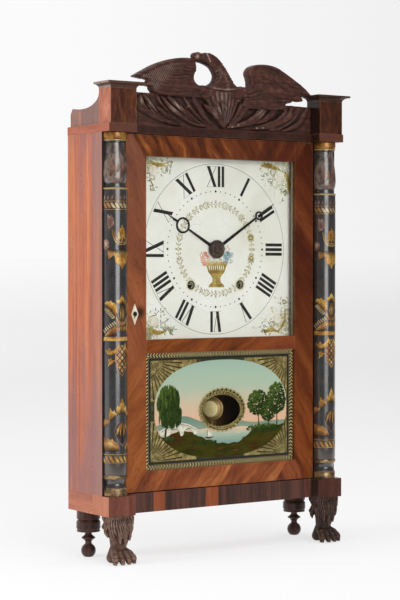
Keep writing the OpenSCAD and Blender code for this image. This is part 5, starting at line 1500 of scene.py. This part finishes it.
for word, brush, stops in (
        ("ink", ink, [(0, "0E0D0C"), (0.6, "1B1917"), (1, "33302B")]),
        ("grey", grey_ink, [(0, "54534C"), (1, "8C8A7E")]),
        ("olive", olive, [(0, "6B5F2C"), (0.4, "8A7E46"), (0.75, "AA9F68"), (1, "CCC394")]),
        ("gilt", gilt_urn, [(0, "85651C"), (0.4, "A98731"), (0.75, "C4A64F"), (1, "DDC57E")]),
        ("rose", rose, [(0, "E4BFB8"), (0.5, "EDD8D2"), (1, "F6EEEA")]),
        ("coral", coral, [(0, "C8775E"), (0.5, "E29C86"), (1, "F3CDBD")]),
        ("teal", teal, [(0, "64809A"), (0.5, "8CA4B4"), (1, "C6D0D6")]),
        ("leafy", leafy, [(0, "66703A"), (0.5, "8C9658"), (1, "B4BA84")]),
        ("blush", blush, [(0, "E2D8C4"), (0.5, "EEE8DA"), (1, "F8F5EC")]),
        ("faded", faded, [(0, "958B5C"), (0.5, "ACA37A"), (1, "CEC7A6")]),
        ("wash", wash, [(0, "D2CBA4"), (0.5, "DEDABC"), (1, "E8E5D2")])):
    brush.lay(f"dial_{word}", on_dial, bronze(f"dial_{word}_paint", stops, 0, 0.0, 0.1),
              "case", "dial_paint")

# ---------------------------------------------------------------------------------------------
# The hands and their collar: filed iron, blued and long since gone brown.
# ---------------------------------------------------------------------------------------------
def metal(name, stops, rough=(0.3, 0.5), metallic=1.0, scale=60, coat=0.0, bump=0.2):
    """Metal with handling, tarnish in patches, and a fine drawn surface."""
    made, tree, shader = finish(name, Metallic=metallic, Coat_Weight=coat, Coat_Roughness=0.15)
    where = place_of(tree)
    patch = speckle(tree, where, scale, 5, 0.62, 0.5)
    fine = speckle(tree, where, scale * 9, 3, 0.6)
    level = plus(tree, times(tree, patch, 0.7), times(tree, fine, 0.3))
    colour = ramp(tree, spread(tree, level, 0.3, 0.7), stops)
    colour = over(tree, times(tree, rubbed(tree, 0.0008), 0.4), colour, tone(stops[-1][1]))
    surface(shader, colour, spread(tree, level, 0.3, 0.7, rough[1], rough[0]),
            raised(tree, fine, bump, 0.00008))
    return made


dress(metal("hand_iron", [(0, "1A1715"), (0.5, "2B2724"), (1, "4A443D")], (0.35, 0.55), 0.55),
      "hour_hand", "minute_hand")
collar_wood = shellacked("collar_wood", [(0, "241A16"), (0.5, "3E2F28"), (1, "665244")],
                         (QUARTER, 0, 0), 40, 200, 0.2, coat=0.8, worn="9A8068")
dress(collar_wood, "hand_collar")

# ---------------------------------------------------------------------------------------------
# The door: a pine frame veneered with figured mahogany laid slantwise, pivoted on pins, with a
# bone diamond round the keyhole and a lock behind it.
# ---------------------------------------------------------------------------------------------


def figured(name, fields, stain=None):
    """Slantwise veneer. Each field has its own lie: a mask, an angle, bands, and colours. A stain
    is the place where hands have soiled it."""
    made, tree, shader = finish(name, Specular_IOR_Level=0.15, Coat_Weight=0.05,
                                Coat_Roughness=0.14, Coat_IOR=1.5)
    where = place_of(tree)
    part = parts_of(tree, where)
    sway = speckle(tree, where, 11, 2, 0.5)
    colour = relief = None
    for mask, angle, bands, shift, stops in fields:
        lean = turned(tree, where, (0, math.radians(angle - 90), 0), location=(shift, 0, shift))
        bend = put(tree, "CombineXYZ", {0: times(tree, sway, 0.045)}).outputs[0]
        lean = put(tree, "VectorMath", {0: lean, 1: bend}, operation="ADD").outputs[0]
        wood = grain(tree, lean, bands, 210.0, 1000.0, 0.09)
        broad = speckle(tree, turned(tree, lean, scale=(1, 1, 0.25)), bands * 1.6, 2, 0.5)
        level = plus(tree, times(tree, wood["Band"], 0.5),
                     plus(tree, times(tree, wood["Streak"], 0.22),
                          times(tree, broad, 0.28)))
        piece = ramp(tree, spread(tree, level, 0.33, 0.67), stops)
        piece = over(tree, times(tree, wood["Pore"], 0.5), piece, tone("2A120B"), "MULTIPLY")
        if colour is None:
            colour, relief = piece, wood["Streak"]
        else:
            colour = over(tree, mask(tree, part), colour, piece)
    if stain:
        off = put(tree, "VectorMath", {0: where, 1: stain}, operation="DISTANCE").outputs["Value"]
        soil = times(tree, spread(tree, off, 0.0125, 0.004), 0.85)
        colour = over(tree, soil, colour, tone("241510"))
    colour = over(tree, times(tree, rubbed(tree, 0.0012), 0.45), colour, tone("B08058"))
    cloud = speckle(tree, where, 30, 4, 0.6)
    surface(shader, colour, spread(tree, cloud, 0.3, 0.7, 0.29, 0.46),
            raised(tree, relief, 0.12, 0.0001))
    return made


def above(axis, at, soft=0.004, lean=0.0, way=1):
    """A mask that comes in past a line, which may lean."""
    def mask(tree, part):
        other = part["X" if axis == "Z" else "Z"]
        line = plus(tree, part[axis], times(tree, other, lean))
        return spread(tree, line, at - way * soft, at + way * soft)
    return mask


dark_flame = [(0, "38190E"), (0.35, "562912"), (0.65, "7A401E"), (0.85, "9C5A2A"), (1, "B87A40")]
dim_flame = [(0, "34160B"), (0.5, "522312"), (1, "713A1C")]
dress(figured("door_top_veneer", [
    (None, 120, 64, 0.0, dark_flame), (above("X", 0.05, 0.06), 62, 48, 0.4, dim_flame)]),
    "door_top_rail")
warm_flame = [(0, "5A2A10"), (0.4, "783D18"), (0.7, "934F20"), (1, "AC682D")]
dress(figured("door_mid_veneer", [
    (None, 38, 40, 0.13, warm_flame),
    (above("X", 0.075, 0.03), 10, 20, 0.7, [(0, "612C16"), (0.5, "793A1E"), (1, "8C4A27")])]),
    "door_mid_rail")
low_flame = [(0, "5A2C18"), (0.35, "7C4024"), (0.65, "9A5630"), (0.85, "AE6A3C"), (1, "C07E4C")]
low_far = [(0, "4C2110"), (0.4, "71371F"), (0.7, "8E4C2A"), (1, "A86638")]
dress(figured("door_low_veneer", [
    (None, 52, 52, 0.27, low_flame),
    (above("X", 0.02, 0.0006, -0.8), 118, 44, 0.5, low_far)]),
    "door_bottom_rail")
dress(figured("door_lock_veneer", [
    (None, 50, 30, 0.33, [(0, "69331A"), (0.4, "8D4C25"), (0.7, "A66030"), (1, "BC7640")]),
    (above("Z", 0.3, 0.06), 112, 24, 0.55,
     [(0, "63351E"), (0.4, "884B2E"), (0.7, "9E5C38"), (1, "B26E44")]),
    (above("Z", 0.5, 0.1), 112, 26, 0.8,
     [(0, "522D22"), (0.5, "754534"), (0.8, "8C553A"), (1, "A06446")]),
    (above("Z", 0.3737, 0.0006, 1.63), 120, 64, 0.0, dark_flame),
    (above("Z", 0.3084, 0.0006, -1.23, -1), 52, 52, 0.27, low_flame)],
    stain=spot(-152, 20, 374)), "door_stile_lock")
dress(figured("door_hinge_veneer", [
    (None, 122, 34, 0.21, [(0, "441B08"), (0.4, "6B3211"), (0.7, "89471C"), (1, "A15D27")]),
    (above("Z", 0.3, 0.12), 126, 22, 0.62,
     [(0, "2F1207"), (0.4, "4C1F0D"), (0.7, "662F14"), (1, "7E4220")]),
    (above("Z", 0.3737, 0.0006, -1.63), 62, 48, 0.4, dim_flame),
    (above("Z", 0.3084, 0.0006, 1.23, -1), 118, 44, 0.5, low_far)]),
    "door_stile_hinge")
dress(shellacked("bead_wood", [(0, "756A57"), (0.5, "968A73"), (1, "AEA38A")], (0, 0, 0), 40, 200,
                 0.1, coat=0.0, gloss=0.55), "glass_beads")


def gold_metal(name, stops, rough):
    return metal(name, stops, rough, 1.0, 45, 0.15, 0.15)


old_brass = gold_metal("old_brass", [(0, "6E5326"), (0.35, "9C7B3C"), (0.7, "BF9C55"),
                                     (1, "D8BB7A")], (0.24, 0.44))
iron = metal("wrought_iron", [(0, "241F1C"), (0.5, "3A3431"), (1, "5A534D")], (0.4, 0.65), 0.7)
dress(old_brass, "door_pivot_pins", "pivot_plates", "lock_bolt")
dress(iron, "door_lock")

# The diamond, with a black spot painted on it at the keyhole as the shade in the hole
bone, tree, shader = finish("escutcheon_bone", Specular_IOR_Level=0.45, Coat_Weight=0.2,
                            Coat_Roughness=0.2)
where = place_of(tree)
level = speckle(tree, turned(tree, where, scale=(1, 1, 0.2)), 260, 4, 0.6)
colour = ramp(tree, level, [(0.3, "C9B997"), (0.5, "E2D6BC"), (0.7, "F1E9D8")])
colour = over(tree, times(tree, rubbed(tree, 0.0012), 0.5), colour, tone("8A7352"))
keyhole = spot(-161.4, 20.0, 371.4)
off = put(tree, "VectorMath", {0: where, 1: keyhole}, operation="DISTANCE").outputs["Value"]
colour = over(tree, spread(tree, off, 0.0042, 0.0034), colour, tone("17110D"))
surface(shader, colour, spread(tree, level, 0.3, 0.7, 0.38, 0.5), raised(tree, level, 0.15, 0.0001))
dress(bone, "key_escutcheon")

# Clear old glass, with a faint green cast and a slow roll in its surface
pane, tree, shader = finish("door_glass", Transmission_Weight=1.0, IOR=1.16, Roughness=0.015)
where = place_of(tree)
roll = speckle(tree, where, 14, 2, 0.5)
tree.links.new(ramp(tree, roll, [(0.3, "F5F7F3"), (0.7, "FBFCFA")]), shader.inputs["Base Color"])
tree.links.new(raised(tree, roll, 0.15, 0.0004), shader.inputs["Normal"])
clear = put(tree, "BsdfTransparent", {"Color": (0.96, 0.97, 0.95, 1)})
path = put(tree, "LightPath")
both = put(tree, "MixShader", {0: path.outputs["Is Shadow Ray"], 1: shader.outputs[0],
                               2: clear.outputs[0]})
for node in tree.nodes:
    if node.type == "OUTPUT_MATERIAL":
        tree.links.new(both.outputs[0], node.inputs["Surface"])
dress(pane, "upper_glass")

# ---------------------------------------------------------------------------------------------
# The tablet: a pane painted on its back with a gold rope border, gold fans in the corners, a
# view in an oval, and a lace ring round a clear window in front of the pendulum.
# ---------------------------------------------------------------------------------------------
TABLET_Y = 26.5
WINDOW = (0.9, 219.0)
PANE_X, PANE_LOW, PANE_HIGH = 145.6, 129.3, 315.8
rim = 40
oval = [(WINDOW[0] + 36.9 * math.cos(2 * math.pi * i / rim),
         WINDOW[1] + 24.8 * math.sin(2 * math.pi * i / rim)) for i in range(rim)]
edge = []
for x, z in oval:
    dx, dz = x - WINDOW[0], z - WINDOW[1]
    grow = min(1e9 if abs(dx) < 1e-6 else (math.copysign(PANE_X, dx) - WINDOW[0]) / dx,
               ((PANE_HIGH if dz > 0 else PANE_LOW) - WINDOW[1]) / dz if abs(dz) > 1e-6 else 1e9)
    edge.append((WINDOW[0] + dx * grow, WINDOW[1] + dz * grow))
for corner_x, corner_z in [(x, z) for x in (-PANE_X, PANE_X) for z in (PANE_LOW, PANE_HIGH)]:
    near = min(range(rim), key=lambda i: math.hypot(edge[i][0] - corner_x, edge[i][1] - corner_z))
    edge[near] = (corner_x, corner_z)
points = [spot(x, y, z) for y in (TABLET_Y, TABLET_Y + 1.9) for x, z in oval + edge]
faces = []
for i in range(rim):
    j = (i + 1) % rim
    front, back = (0, rim), (2 * rim, 3 * rim)
    faces += [(front[0] + i, front[1] + i, front[1] + j, front[0] + j),
              (back[0] + j, back[1] + j, back[1] + i, back[0] + i),
              (front[0] + j, back[0] + j, back[0] + i, front[0] + i),
              (front[1] + i, back[1] + i, back[1] + j, front[1] + j)]
black_paint, tree, shader = finish("tablet_black", Specular_IOR_Level=0.4, Coat_Weight=0.7,
                                   Coat_Roughness=0.05, Coat_IOR=1.45)
where = place_of(tree)
level = speckle(tree, where, 120, 4, 0.6)
surface(shader, ramp(tree, level, [(0.35, "0C0B09"), (0.6, "191611"), (0.8, "2C2619")]),
        spread(tree, level, 0.3, 0.7, 0.45, 0.6), raised(tree, level, 0.08, 0.0001))
board = solid("tablet_pane", points, faces, black_paint, "door")
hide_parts("lower_tablet")
lens = [spot(x, y, z) for y in (TABLET_Y + 0.05, TABLET_Y + 1.85) for x, z in oval]
lens = solid("tablet_window", lens, [tuple(range(rim)), tuple(reversed(range(rim, 2 * rim)))]
             + [((i + 1) % rim, i, rim + i, rim + (i + 1) % rim) for i in range(rim)],
             pane, "door")
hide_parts("lower_tablet")


def tablet_paint(name, stops, scale, heights=None, metallic=0.0, streak=(1, 1, 1)):
    """Oil paint seen through the pane: brushed shades, with a wash by height if one is given."""
    made, tree, shader = finish(name, Specular_IOR_Level=0.12, Metallic=metallic,
                                Coat_Weight=0.08, Coat_Roughness=0.05, Coat_IOR=1.4)
    where = place_of(tree)
    dab = speckle(tree, turned(tree, where, scale=streak), scale, 5, 0.65, 0.4)
    if heights:
        up = parts_of(tree, where)["Z"]
        up = spread(tree, up, heights[0] / 1000, heights[1] / 1000)
        level = plus(tree, up, times(tree, less(tree, dab, 0.5), heights[2]))
    else:
        level = spread(tree, dab, 0.3, 0.7)
    surface(shader, ramp(tree, level, stops), spread(tree, dab, 0.3, 0.7, 0.4, 0.6),
            raised(tree, dab, 0.06, 0.0001))
    return made


def inset(half_x, low, high, n=60):
    """A rectangle's outline as a run of points."""
    corners = [(-half_x, low), (half_x, low), (half_x, high), (-half_x, high)]
    run = []
    for a, b in zip(corners, corners[1:] + corners[:1]):
        run += [(a[0] + (b[0] - a[0]) * i / n, a[1] + (b[1] - a[1]) * i / n) for i in range(n)]
    return run


# The vignette is an oval a little fuller than an ellipse
VIEW_X, VIEW_Z, VIEW_WIDE, VIEW_TALL, FULL = 3.0, 222.0, 126.0, 76.0, 2.35


def vignette(a):
    c, s = math.cos(a), math.sin(a)
    return (VIEW_X + VIEW_WIDE * math.copysign(abs(c) ** (2 / FULL), c),
            VIEW_Z + VIEW_TALL * math.copysign(abs(s) ** (2 / FULL), s))


rope, shade, fan, ray, sky, hills, water, land, stone, dusk, bush, leafage, bark, lace = (
    Brushwork() for _ in range(14))
for half_x, low, high, turn in ((139.6, 135.3, 309.9, 0.85), (136.2, 138.7, 306.5, -0.85)):
    rope.row(inset(half_x, low, high), 166, 2.7, 0.92, turn, 8, lift=0.1)
for half_x, low, high, width in ((142.0, 132.9, 312.3, 0.3), (133.6, 141.3, 303.9, 0.12)):
    corners = [(-half_x, low), (half_x, low), (half_x, high), (-half_x, high)]
    for a, b in zip(corners, corners[1:] + corners[:1]):
        rope.stroke([a, b], width, 0.1, shade=0.8)

# The corners: a fan of gold rays that open towards the view, and a stippled angle behind them
for sx in (-1, 1):
    for sz in (-1, 1):
        def in_corner(u, v):
            return sx * (129.4 - u), 222.6 + sz * (76.9 - v)

        flip = sx * sz
        outline = [in_corner(0, 0), in_corner(84, 0), in_corner(84, 10), in_corner(10, 62),
                   in_corner(0, 62)]
        fan.patch(outline, 0.06)
        for i in range(10):
            a = math.radians(5 + 80 * i / 9)
            near, far = 22, 22 + (44 if i % 2 else 36)
            ends = [in_corner(near * math.cos(a), near * math.sin(a)),
                    in_corner(far * math.cos(a), far * math.sin(a) * 0.9)]
            ray.stroke(ends[::flip], [0.45, 1.3][::flip], 0.12, shade=0.6)
        rng_corner = np.random.default_rng(11)
        for i in range(90):
            u, v = rng_corner.uniform(0.8, 27), rng_corner.uniform(0.8, 24)
            if u / 28 + v / 25 < 1:
                ray.blot(in_corner(u, v), 0.62, 1, 0.12, 6, 1)
        ends = [in_corner(29, 0.6), in_corner(0.6, 26)]
        ray.stroke(ends[::flip], 0.45, 0.14, shade=0.6)

# Dark olive between the view and the border
hem = []
for a in np.linspace(0, 2 * math.pi, 120, endpoint=False):
    x, z = vignette(a)
    reach = min(129.6 / max(abs(x), 1e-6), 77.2 / max(abs(z - 222.7), 1e-6))
    hem.append(((VIEW_X + (x - VIEW_X) * 0.95, VIEW_Z + (z - VIEW_Z) * 0.95),
                (x * reach, 222.7 + (z - 222.7) * reach)))
shade.net(list(zip(*hem)), [[(0.5, 0.5)] * 120] * 2, 0.03, closed=True)


def out_from(x, z, grow):
    """0 in the middle of the vignette, and 1 on its outline grown by some millimetres."""
    c, s = (x - VIEW_X) / (VIEW_WIDE + grow), (z - VIEW_Z) / (VIEW_TALL + grow)
    return (abs(c) ** FULL + abs(s) ** FULL) ** (1 / FULL)


def clipped(points):
    """Holds an outline inside the vignette."""
    held = []
    for x, z in points:
        size = max(1, out_from(x, z, -0.4))
        held.append((VIEW_X + (x - VIEW_X) / size, VIEW_Z + (z - VIEW_Z) / size))
    return held


def belt(brush, crest, foot, lift):
    """A band of country between two lines, kept to the vignette and clear of the window."""
    xs = np.linspace(-122.4, 128.4, 110)
    parts = ([], [])
    for x in xs:
        half = 75.8 * (1 - min(1, abs((x - VIEW_X) / VIEW_WIDE)) ** FULL) ** (1 / FULL)
        hole = 28.6 * max(0.0, 1 - ((x - 2.2) / 39.5) ** 2) ** 0.5
        low, high = (min(max(f(x), VIEW_Z - half), VIEW_Z + half) for f in (foot, crest))
        for part, a, b in ((parts[0], max(low, 219.6 + hole), max(high, 219.6 + hole)),
                           (parts[1], min(low, 219.6 - hole), min(high, 219.6 - hole))):
            part.append([(x, a), (x, b)])
    for part in parts:
        brush.net(part, [[(0.6, 0.2), (0.6, 0.8)]] * len(xs), lift)


def seen(x, z):
    """Whether a mark there would fall on the painting, not in the window."""
    return out_from(x, z, -2.5) < 1 and math.hypot((x - 3.6) / 43, (z - 220.3) / 34) > 1


belt(sky, lambda x: 300, lambda x: 186, 0.14)
belt(hills, lambda x: 199 + 13 * math.exp(-((x + 70) / 34) ** 2)
     + 9 * math.exp(-((x + 8) / 26) ** 2) + 5 * math.sin(x / 17) * math.exp(-(x / 60) ** 2),
     lambda x: 184, 0.18)
belt(water, lambda x: 192 + 0.6 * math.sin(x / 5), lambda x: 150, 0.22)
belt(land, lambda x: 196 - 14 / (1 + math.exp((x + 88) / 7)) - 30 / (1 + math.exp(-(x + 40) / 16))
     + 26 / (1 + math.exp(-(x - 52) / 8)) + 0.9 * math.sin(x / 3.1), lambda x: 140, 0.26)
for i in range(160):
    x = rng.uniform(-118, 124)
    z = rng.uniform(150, 186)
    if out_from(x, z, -6) < 1 and z < (166 if abs(x) < 45 else 176) and seen(x, z):
        (land if i % 3 else dusk).leaf((x - 7, z), (x, z + rng.uniform(-1, 1.6)), (x + 8, z + 0.4),
                                       rng.uniform(0.5, 1.3), 0.3 + 0.0005 * i, 6, 2)

# A stone bridge of two arches on the left, with a low wall running off it
arches = [[(middle + 9.5 * math.cos(a), 184 + 11 * math.sin(a))
           for a in np.linspace(0.1, math.pi - 0.1, 9)] for middle in (-60, -85)]
deck = [(-112, 193), (-96, 200), (-78, 204.5), (-60, 200.5), (-44, 193), (-44, 189.5),
        (-46, 184), (-50, 184), *arches[0], (-71, 183), (-75, 183), *arches[1],
        (-97, 184), (-112, 186)]
stone.patch(clipped(deck), 0.34)
dusk.stroke([(-110, 190.6), (-96, 197.4), (-78, 201.8), (-60, 197.8), (-46, 191)], 0.35, 0.38)
for i in range(26):
    x = -108 + 2.5 * i
    z = 190 + 12 * math.exp(-((x + 78) / 22) ** 2) - 2.6 * (i % 2)
    dusk.stroke([(x, z - 1.6), (x + 0.1, z)], 0.16, 0.38)

# A boat with a pale sail on the water, and lights along the ripples
stone.patch([(-24.5, 179.4), (-23.4, 189.4), (-14.5, 180.6)], 0.34)
bark.leaf((-30, 178.8), (-21, 175.6), (-12, 179.2), 1.3, 0.36)
bark.stroke([(-24.8, 178), (-24.8, 190.4)], 0.3, 0.38)
for i in range(60):
    x, z = rng.uniform(-100, 40), rng.uniform(180, 191)
    if seen(x, z) and seen(x + 6, z):
        stone.stroke([(x, z), (x + rng.uniform(2, 6), z)], 0.16, 0.24)

# Rounded trees on the right bank and a leaning willow at the left edge
def crown(brushes, x, z, wide, tall, count, droop=0.0, size=2.2):
    for i in range(count):
        a, r = rng.uniform(0, 2 * math.pi), math.sqrt(rng.uniform(0, 1))
        u, v = x + wide * r * math.cos(a), z + tall * r * math.sin(a)
        if not seen(u, v):
            continue
        lift = 0.4 + 0.0007 * i
        light = (v - z) / tall * 0.6 - (u - x) / wide * 0.35 + rng.uniform(-0.4, 0.4)
        brush = brushes[0] if light > 0.15 else brushes[1]
        if droop:
            brush.leaf((u, v), (u + rng.uniform(-1, 1), v - droop * 0.5), (u, v - droop),
                       size * 0.4, lift, 5, 2)
        else:
            brush.blot((u, v), rng.uniform(0.6, 1.0) * size, 0.8, lift, 8, 1)


for x, foot, top in ((73, 183, 214), (92, 183, 206), (109, 184, 216)):
    bark.stroke([(x, foot), (x + 0.8, (foot + top) / 2), (x - 0.4, top)], [1.5, 1.0, 0.6], 0.37)
crown((leafage, bush), 72, 228, 20, 20, 430)
crown((leafage, bush), 93, 213, 15, 15, 260)
crown((leafage, bush), 109, 234, 18, 25, 420)
crown((leafage, bush), 84, 188, 36, 6, 260, size=1.6)
bark.stroke([(-104, 176), (-101, 200), (-106, 226)], [2.0, 1.4, 0.8], 0.37)
crown((leafage, bush), -98, 244, 21, 19, 420, 16, 3.0)
crown((leafage, bush), -94, 222, 21, 14, 260, 17, 2.6)
crown((leafage, bush), -100, 178, 16, 4, 110, size=1.5)
crown((bush, bush), -30, 171, 22, 3.5, 110, size=1.4)

# The lace ring: scalloped rows of dots and loops round the clear window, set a little askew
def lace_line(way, n):
    """A closed line that lies part of the way from the window's rim to the edge of the lace."""
    return [(WINDOW[0] + 2.7 * way + (36.9 + 5.3 * way) * math.cos(a),
             WINDOW[1] + 1.3 * way + (24.8 + 8.0 * way) * math.sin(a))
            for a in np.linspace(0, 2 * math.pi, n, endpoint=False)]


for way, count, size, width in ((0.8, 32, 3.0, 0.75), (0.42, 40, 1.7, 0.5)):
    for at in lace_line(way, count):
        hoop(lace, at, size, width, 12, 0.62)
lace.row(lace_line(0.98, 90), 32, 0.9, 0.9, lift=0.64)
lace.row(lace_line(0.16, 90), 64, 0.8, 0.6, lift=0.6)
grid = [list(pair) for pair in zip(lace_line(0.96, 80), lace_line(0.0, 80))]
ray.net(grid + grid[:1], [[(0.5, 0.2), (0.5, 0.8)]] * 81, 0.5)
hoop(lace, WINDOW, 37.1, 0.35, 80, 0.66, 25.0 / 37.1)


def on_tablet(u, v, lift):
    return spot(u, TABLET_Y - lift, v)


for word, brush, stops, scale, more in (
        ("rope", rope, [(0, "A8964E"), (0.45, "CEBC76"), (0.75, "E2D498"), (1, "F2E8C0")], 400,
         {"metallic": 0.2}),
        ("shade", shade, [(0, "2A2A18"), (0.5, "3E3E24"), (1, "545232")], 160, {}),
        ("fan", fan, [(0, "5C5030"), (0.4, "7C6E42"), (0.7, "9C8C58"), (1, "BCAC74")], 130,
         {"metallic": 0.15}),
        ("ray", ray, [(0, "1E1E10"), (1, "3A3820")], 200, {}),
        ("sky", sky, [(0, "E0B492"), (0.22, "DDB596"), (0.42, "CDBD9F"), (0.62, "B0BFA6"),
                      (1, "9EBAA8")], 22, {"heights": (186, 296, 0.09), "streak": (0.3, 1, 1.4)}),
        ("hills", hills, [(0, "8FA08B"), (0.5, "7D947F"), (1, "6B8A7C")], 60,
         {"heights": (184, 213, 0.4)}),
        ("water", water, [(0, "7F9C8E"), (0.6, "A8B9A4"), (1, "DDBB9C")], 90,
         {"heights": (168, 192, 0.7), "streak": (0.15, 1, 1.5)}),
        ("land", land, [(0, "1C1A00"), (0.3, "2C2E00"), (0.5, "3E3D00"), (0.64, "3A2C00"),
                        (0.8, "442000"), (1, "361A00")], 17, {"streak": (0.5, 1, 1)}),
        ("stone", stone, [(0, "B9B49F"), (0.6, "D6D2C0"), (1, "ECE9DC")], 160, {}),
        ("dusk", dusk, [(0, "3B1E12"), (0.5, "5C3319"), (1, "7A4A24")], 80, {}),
        ("bush", bush, [(0, "16240A"), (0.5, "24380E"), (1, "344A14")], 240, {}),
        ("leafage", leafage, [(0, "2E4214"), (0.5, "40561C"), (1, "5E6E2C")], 240, {}),
        ("bark", bark, [(0, "261E12"), (0.5, "3E2E1A"), (1, "5A3E24")], 200, {}),
        ("lace", lace, [(0, "6E5E2E"), (0.45, "9C8A50"), (0.75, "C2B276"), (1, "E2D8AA")], 420,
         {"metallic": 0.2})):
    paint = tablet_paint(f"tablet_{word}_paint", stops, scale, **more)
    brush.lay(f"tablet_{word}", on_tablet, paint, "door", "tablet")

# ---------------------------------------------------------------------------------------------
# The movement: cherry plates and wheels on turned arbors, two trains with wooden drums, a brass
# escape wheel, an iron verge and a brass pendulum, with cords over pulleys to iron weights.
# ---------------------------------------------------------------------------------------------
cherry_tones = [(0, "6A3E22"), (0.4, "8F5A34"), (0.7, "AB7345"), (1, "C08B58")]


def near_the_squares(wide):
    """1 round the two winding squares, painted near black there as the shade seen down the winding
    holes.
    """
    def mask(tree):
        part = parts_of(tree)
        away = less(tree, sums(tree, "ABSOLUTE", part["X"]), 0.0465)
        off = plus(tree, times(tree, away, away),
                   sums(tree, "POWER", less(tree, part["Z"], 0.414), 2.0))
        return spread(tree, off, (wide * 1.2) ** 2, wide ** 2)
    return mask


cherry = shellacked("cherry_plate", cherry_tones, (0, QUARTER, 0), 22, 150, 0.06, coat=0.12,
                    gloss=0.42)
# Painted shade round the winding squares, seen down the winding holes.
dress(repainted(cherry, near_the_squares(0.014), "0E0A08"), "movement_plate_front",
      "movement_plate_back")
dress(shellacked("cherry_turned", cherry_tones, (QUARTER, 0, 0), 60, 260, 0.12, coat=0.1,
                 gloss=0.4), "movement_pillars", "time_pulley", "strike_pulley")
drum_wood = shellacked("cherry_drum", cherry_tones, (QUARTER, 0, 0), 60, 260, 0.12, coat=0.0,
                       gloss=0.5)
dress(repainted(drum_wood, near_the_squares(0.0055), "14100D"), "time_drum", "strike_drum")
dress(shellacked("cherry_wheel", [(0, "7C4C2A"), (0.5, "A06A3E"), (1, "C6935E")], (0, 0, 0), 50,
                 260, 0.12, coat=0.08, gloss=0.45), "time_great_wheel", "strike_great_wheel",
      "time_second_wheel", "strike_second_wheel", "time_third_wheel", "hour_wheel", "strike_fly")
dress(shellacked("batten_pine", [(0, "8E6B42"), (0.5, "B48F5E"), (1, "CDAE7C")], (0, 0, 0), 30, 180,
                 0.06, coat=0.0, gloss=0.6, pore=0.2), "movement_battens")
dress(iron, "front_plate_studs", "pulley_brackets", "verge")
dress(metal("hammer_iron", [(0, "2B2725"), (0.5, "47423E"), (1, "6E6861")], (0.3, 0.5), 0.85),
      "hammer")
dress(gold_metal("wheel_brass", [(0, "8A6A30"), (0.4, "B08C48"), (0.75, "CDAA62"),
                                 (1, "E2C583")], (0.22, 0.36)), "escape_wheel", "minute_pipe")
dress(metal("rod_brass", [(0, "6A5430"), (0.5, "94794A"), (1, "B89C68")], (0.3, 0.5), 1.0, 90),
      "pendulum_rod")


def behind_the_dome(tree):
    """1 on the collar and the rim that stand behind the bob's dome, which looks half left."""
    part = parts_of(tree)
    ahead = plus(tree, times(tree, part["X"], -0.848),
                 times(tree, plus(tree, part["Y"], 0.00225), -0.53))
    return times(tree, sums(tree, "LESS_THAN", ahead, 0.0058), 0.85)


# The bob's stops run up to near white, brighter than its brass: painted highlight on the dome; the
# collar and rim behind keep a darker brass.
bob = metal("bob_brass", [(0, "E2C078"), (0.4, "F8E0A0"), (0.7, "FFEEBC"), (1, "FFF8DC")],
            (0.3, 0.45), 0.15, 22, 0.6, 0.08)
dress(repainted(bob, behind_the_dome, "8E6A30"), "pendulum_bob")
dress(metal("bell_metal", [(0, "5C4B33"), (0.4, "8A7448"), (0.7, "AF955F"), (1, "CDB681")],
            (0.24, 0.42), 1.0, 30), "bell")

# Weights cast in iron, rusted in patches over old black paint
cast, tree, shader = finish("cast_iron", Specular_IOR_Level=0.35, Metallic=0.35)
where = place_of(tree)
lump = speckle(tree, where, 55, 6, 0.7, 0.3)
pit = put(tree, "TexVoronoi", {"Vector": where, "Scale": 420.0}).outputs["Distance"]
colour = ramp(tree, lump, [(0.3, "1E1B19"), (0.48, "322B27"), (0.6, "57351F"), (0.75, "7A4A28")])
colour = over(tree, times(tree, spread(tree, pit, 0.25, 0.05), 0.5), colour, tone("120F0D"))
surface(shader, colour, spread(tree, lump, 0.35, 0.65, 0.5, 0.85),
        raised(tree, plus(tree, lump, times(tree, pit, 0.5)), 0.4, 0.0006))
dress(cast, "time_weight", "strike_weight")

# Laid cotton cord, its strands winding round it
twine, tree, shader = finish("cotton_cord", Specular_IOR_Level=0.2, Sheen_Weight=0.3)
where = place_of(tree)
lay = put(tree, "TexWave", {"Vector": turned(tree, where, (0, math.radians(35), 0)),
                            "Scale": 260.0, "Distortion": 1.5, "Detail": 2.0},
          wave_type="BANDS", bands_direction="Z").outputs["Fac"]
fluff = speckle(tree, where, 900, 3, 0.6)
level = plus(tree, times(tree, lay, 0.65), times(tree, fluff, 0.35))
surface(shader, ramp(tree, level, [(0.15, "6B5A42"), (0.5, "A08D6C"), (0.85, "CDBE9C")]),
        spread(tree, level, 0.2, 0.8, 0.75, 0.9), raised(tree, level, 0.6, 0.0003))
dress(twine, "time_cord", "strike_cord")
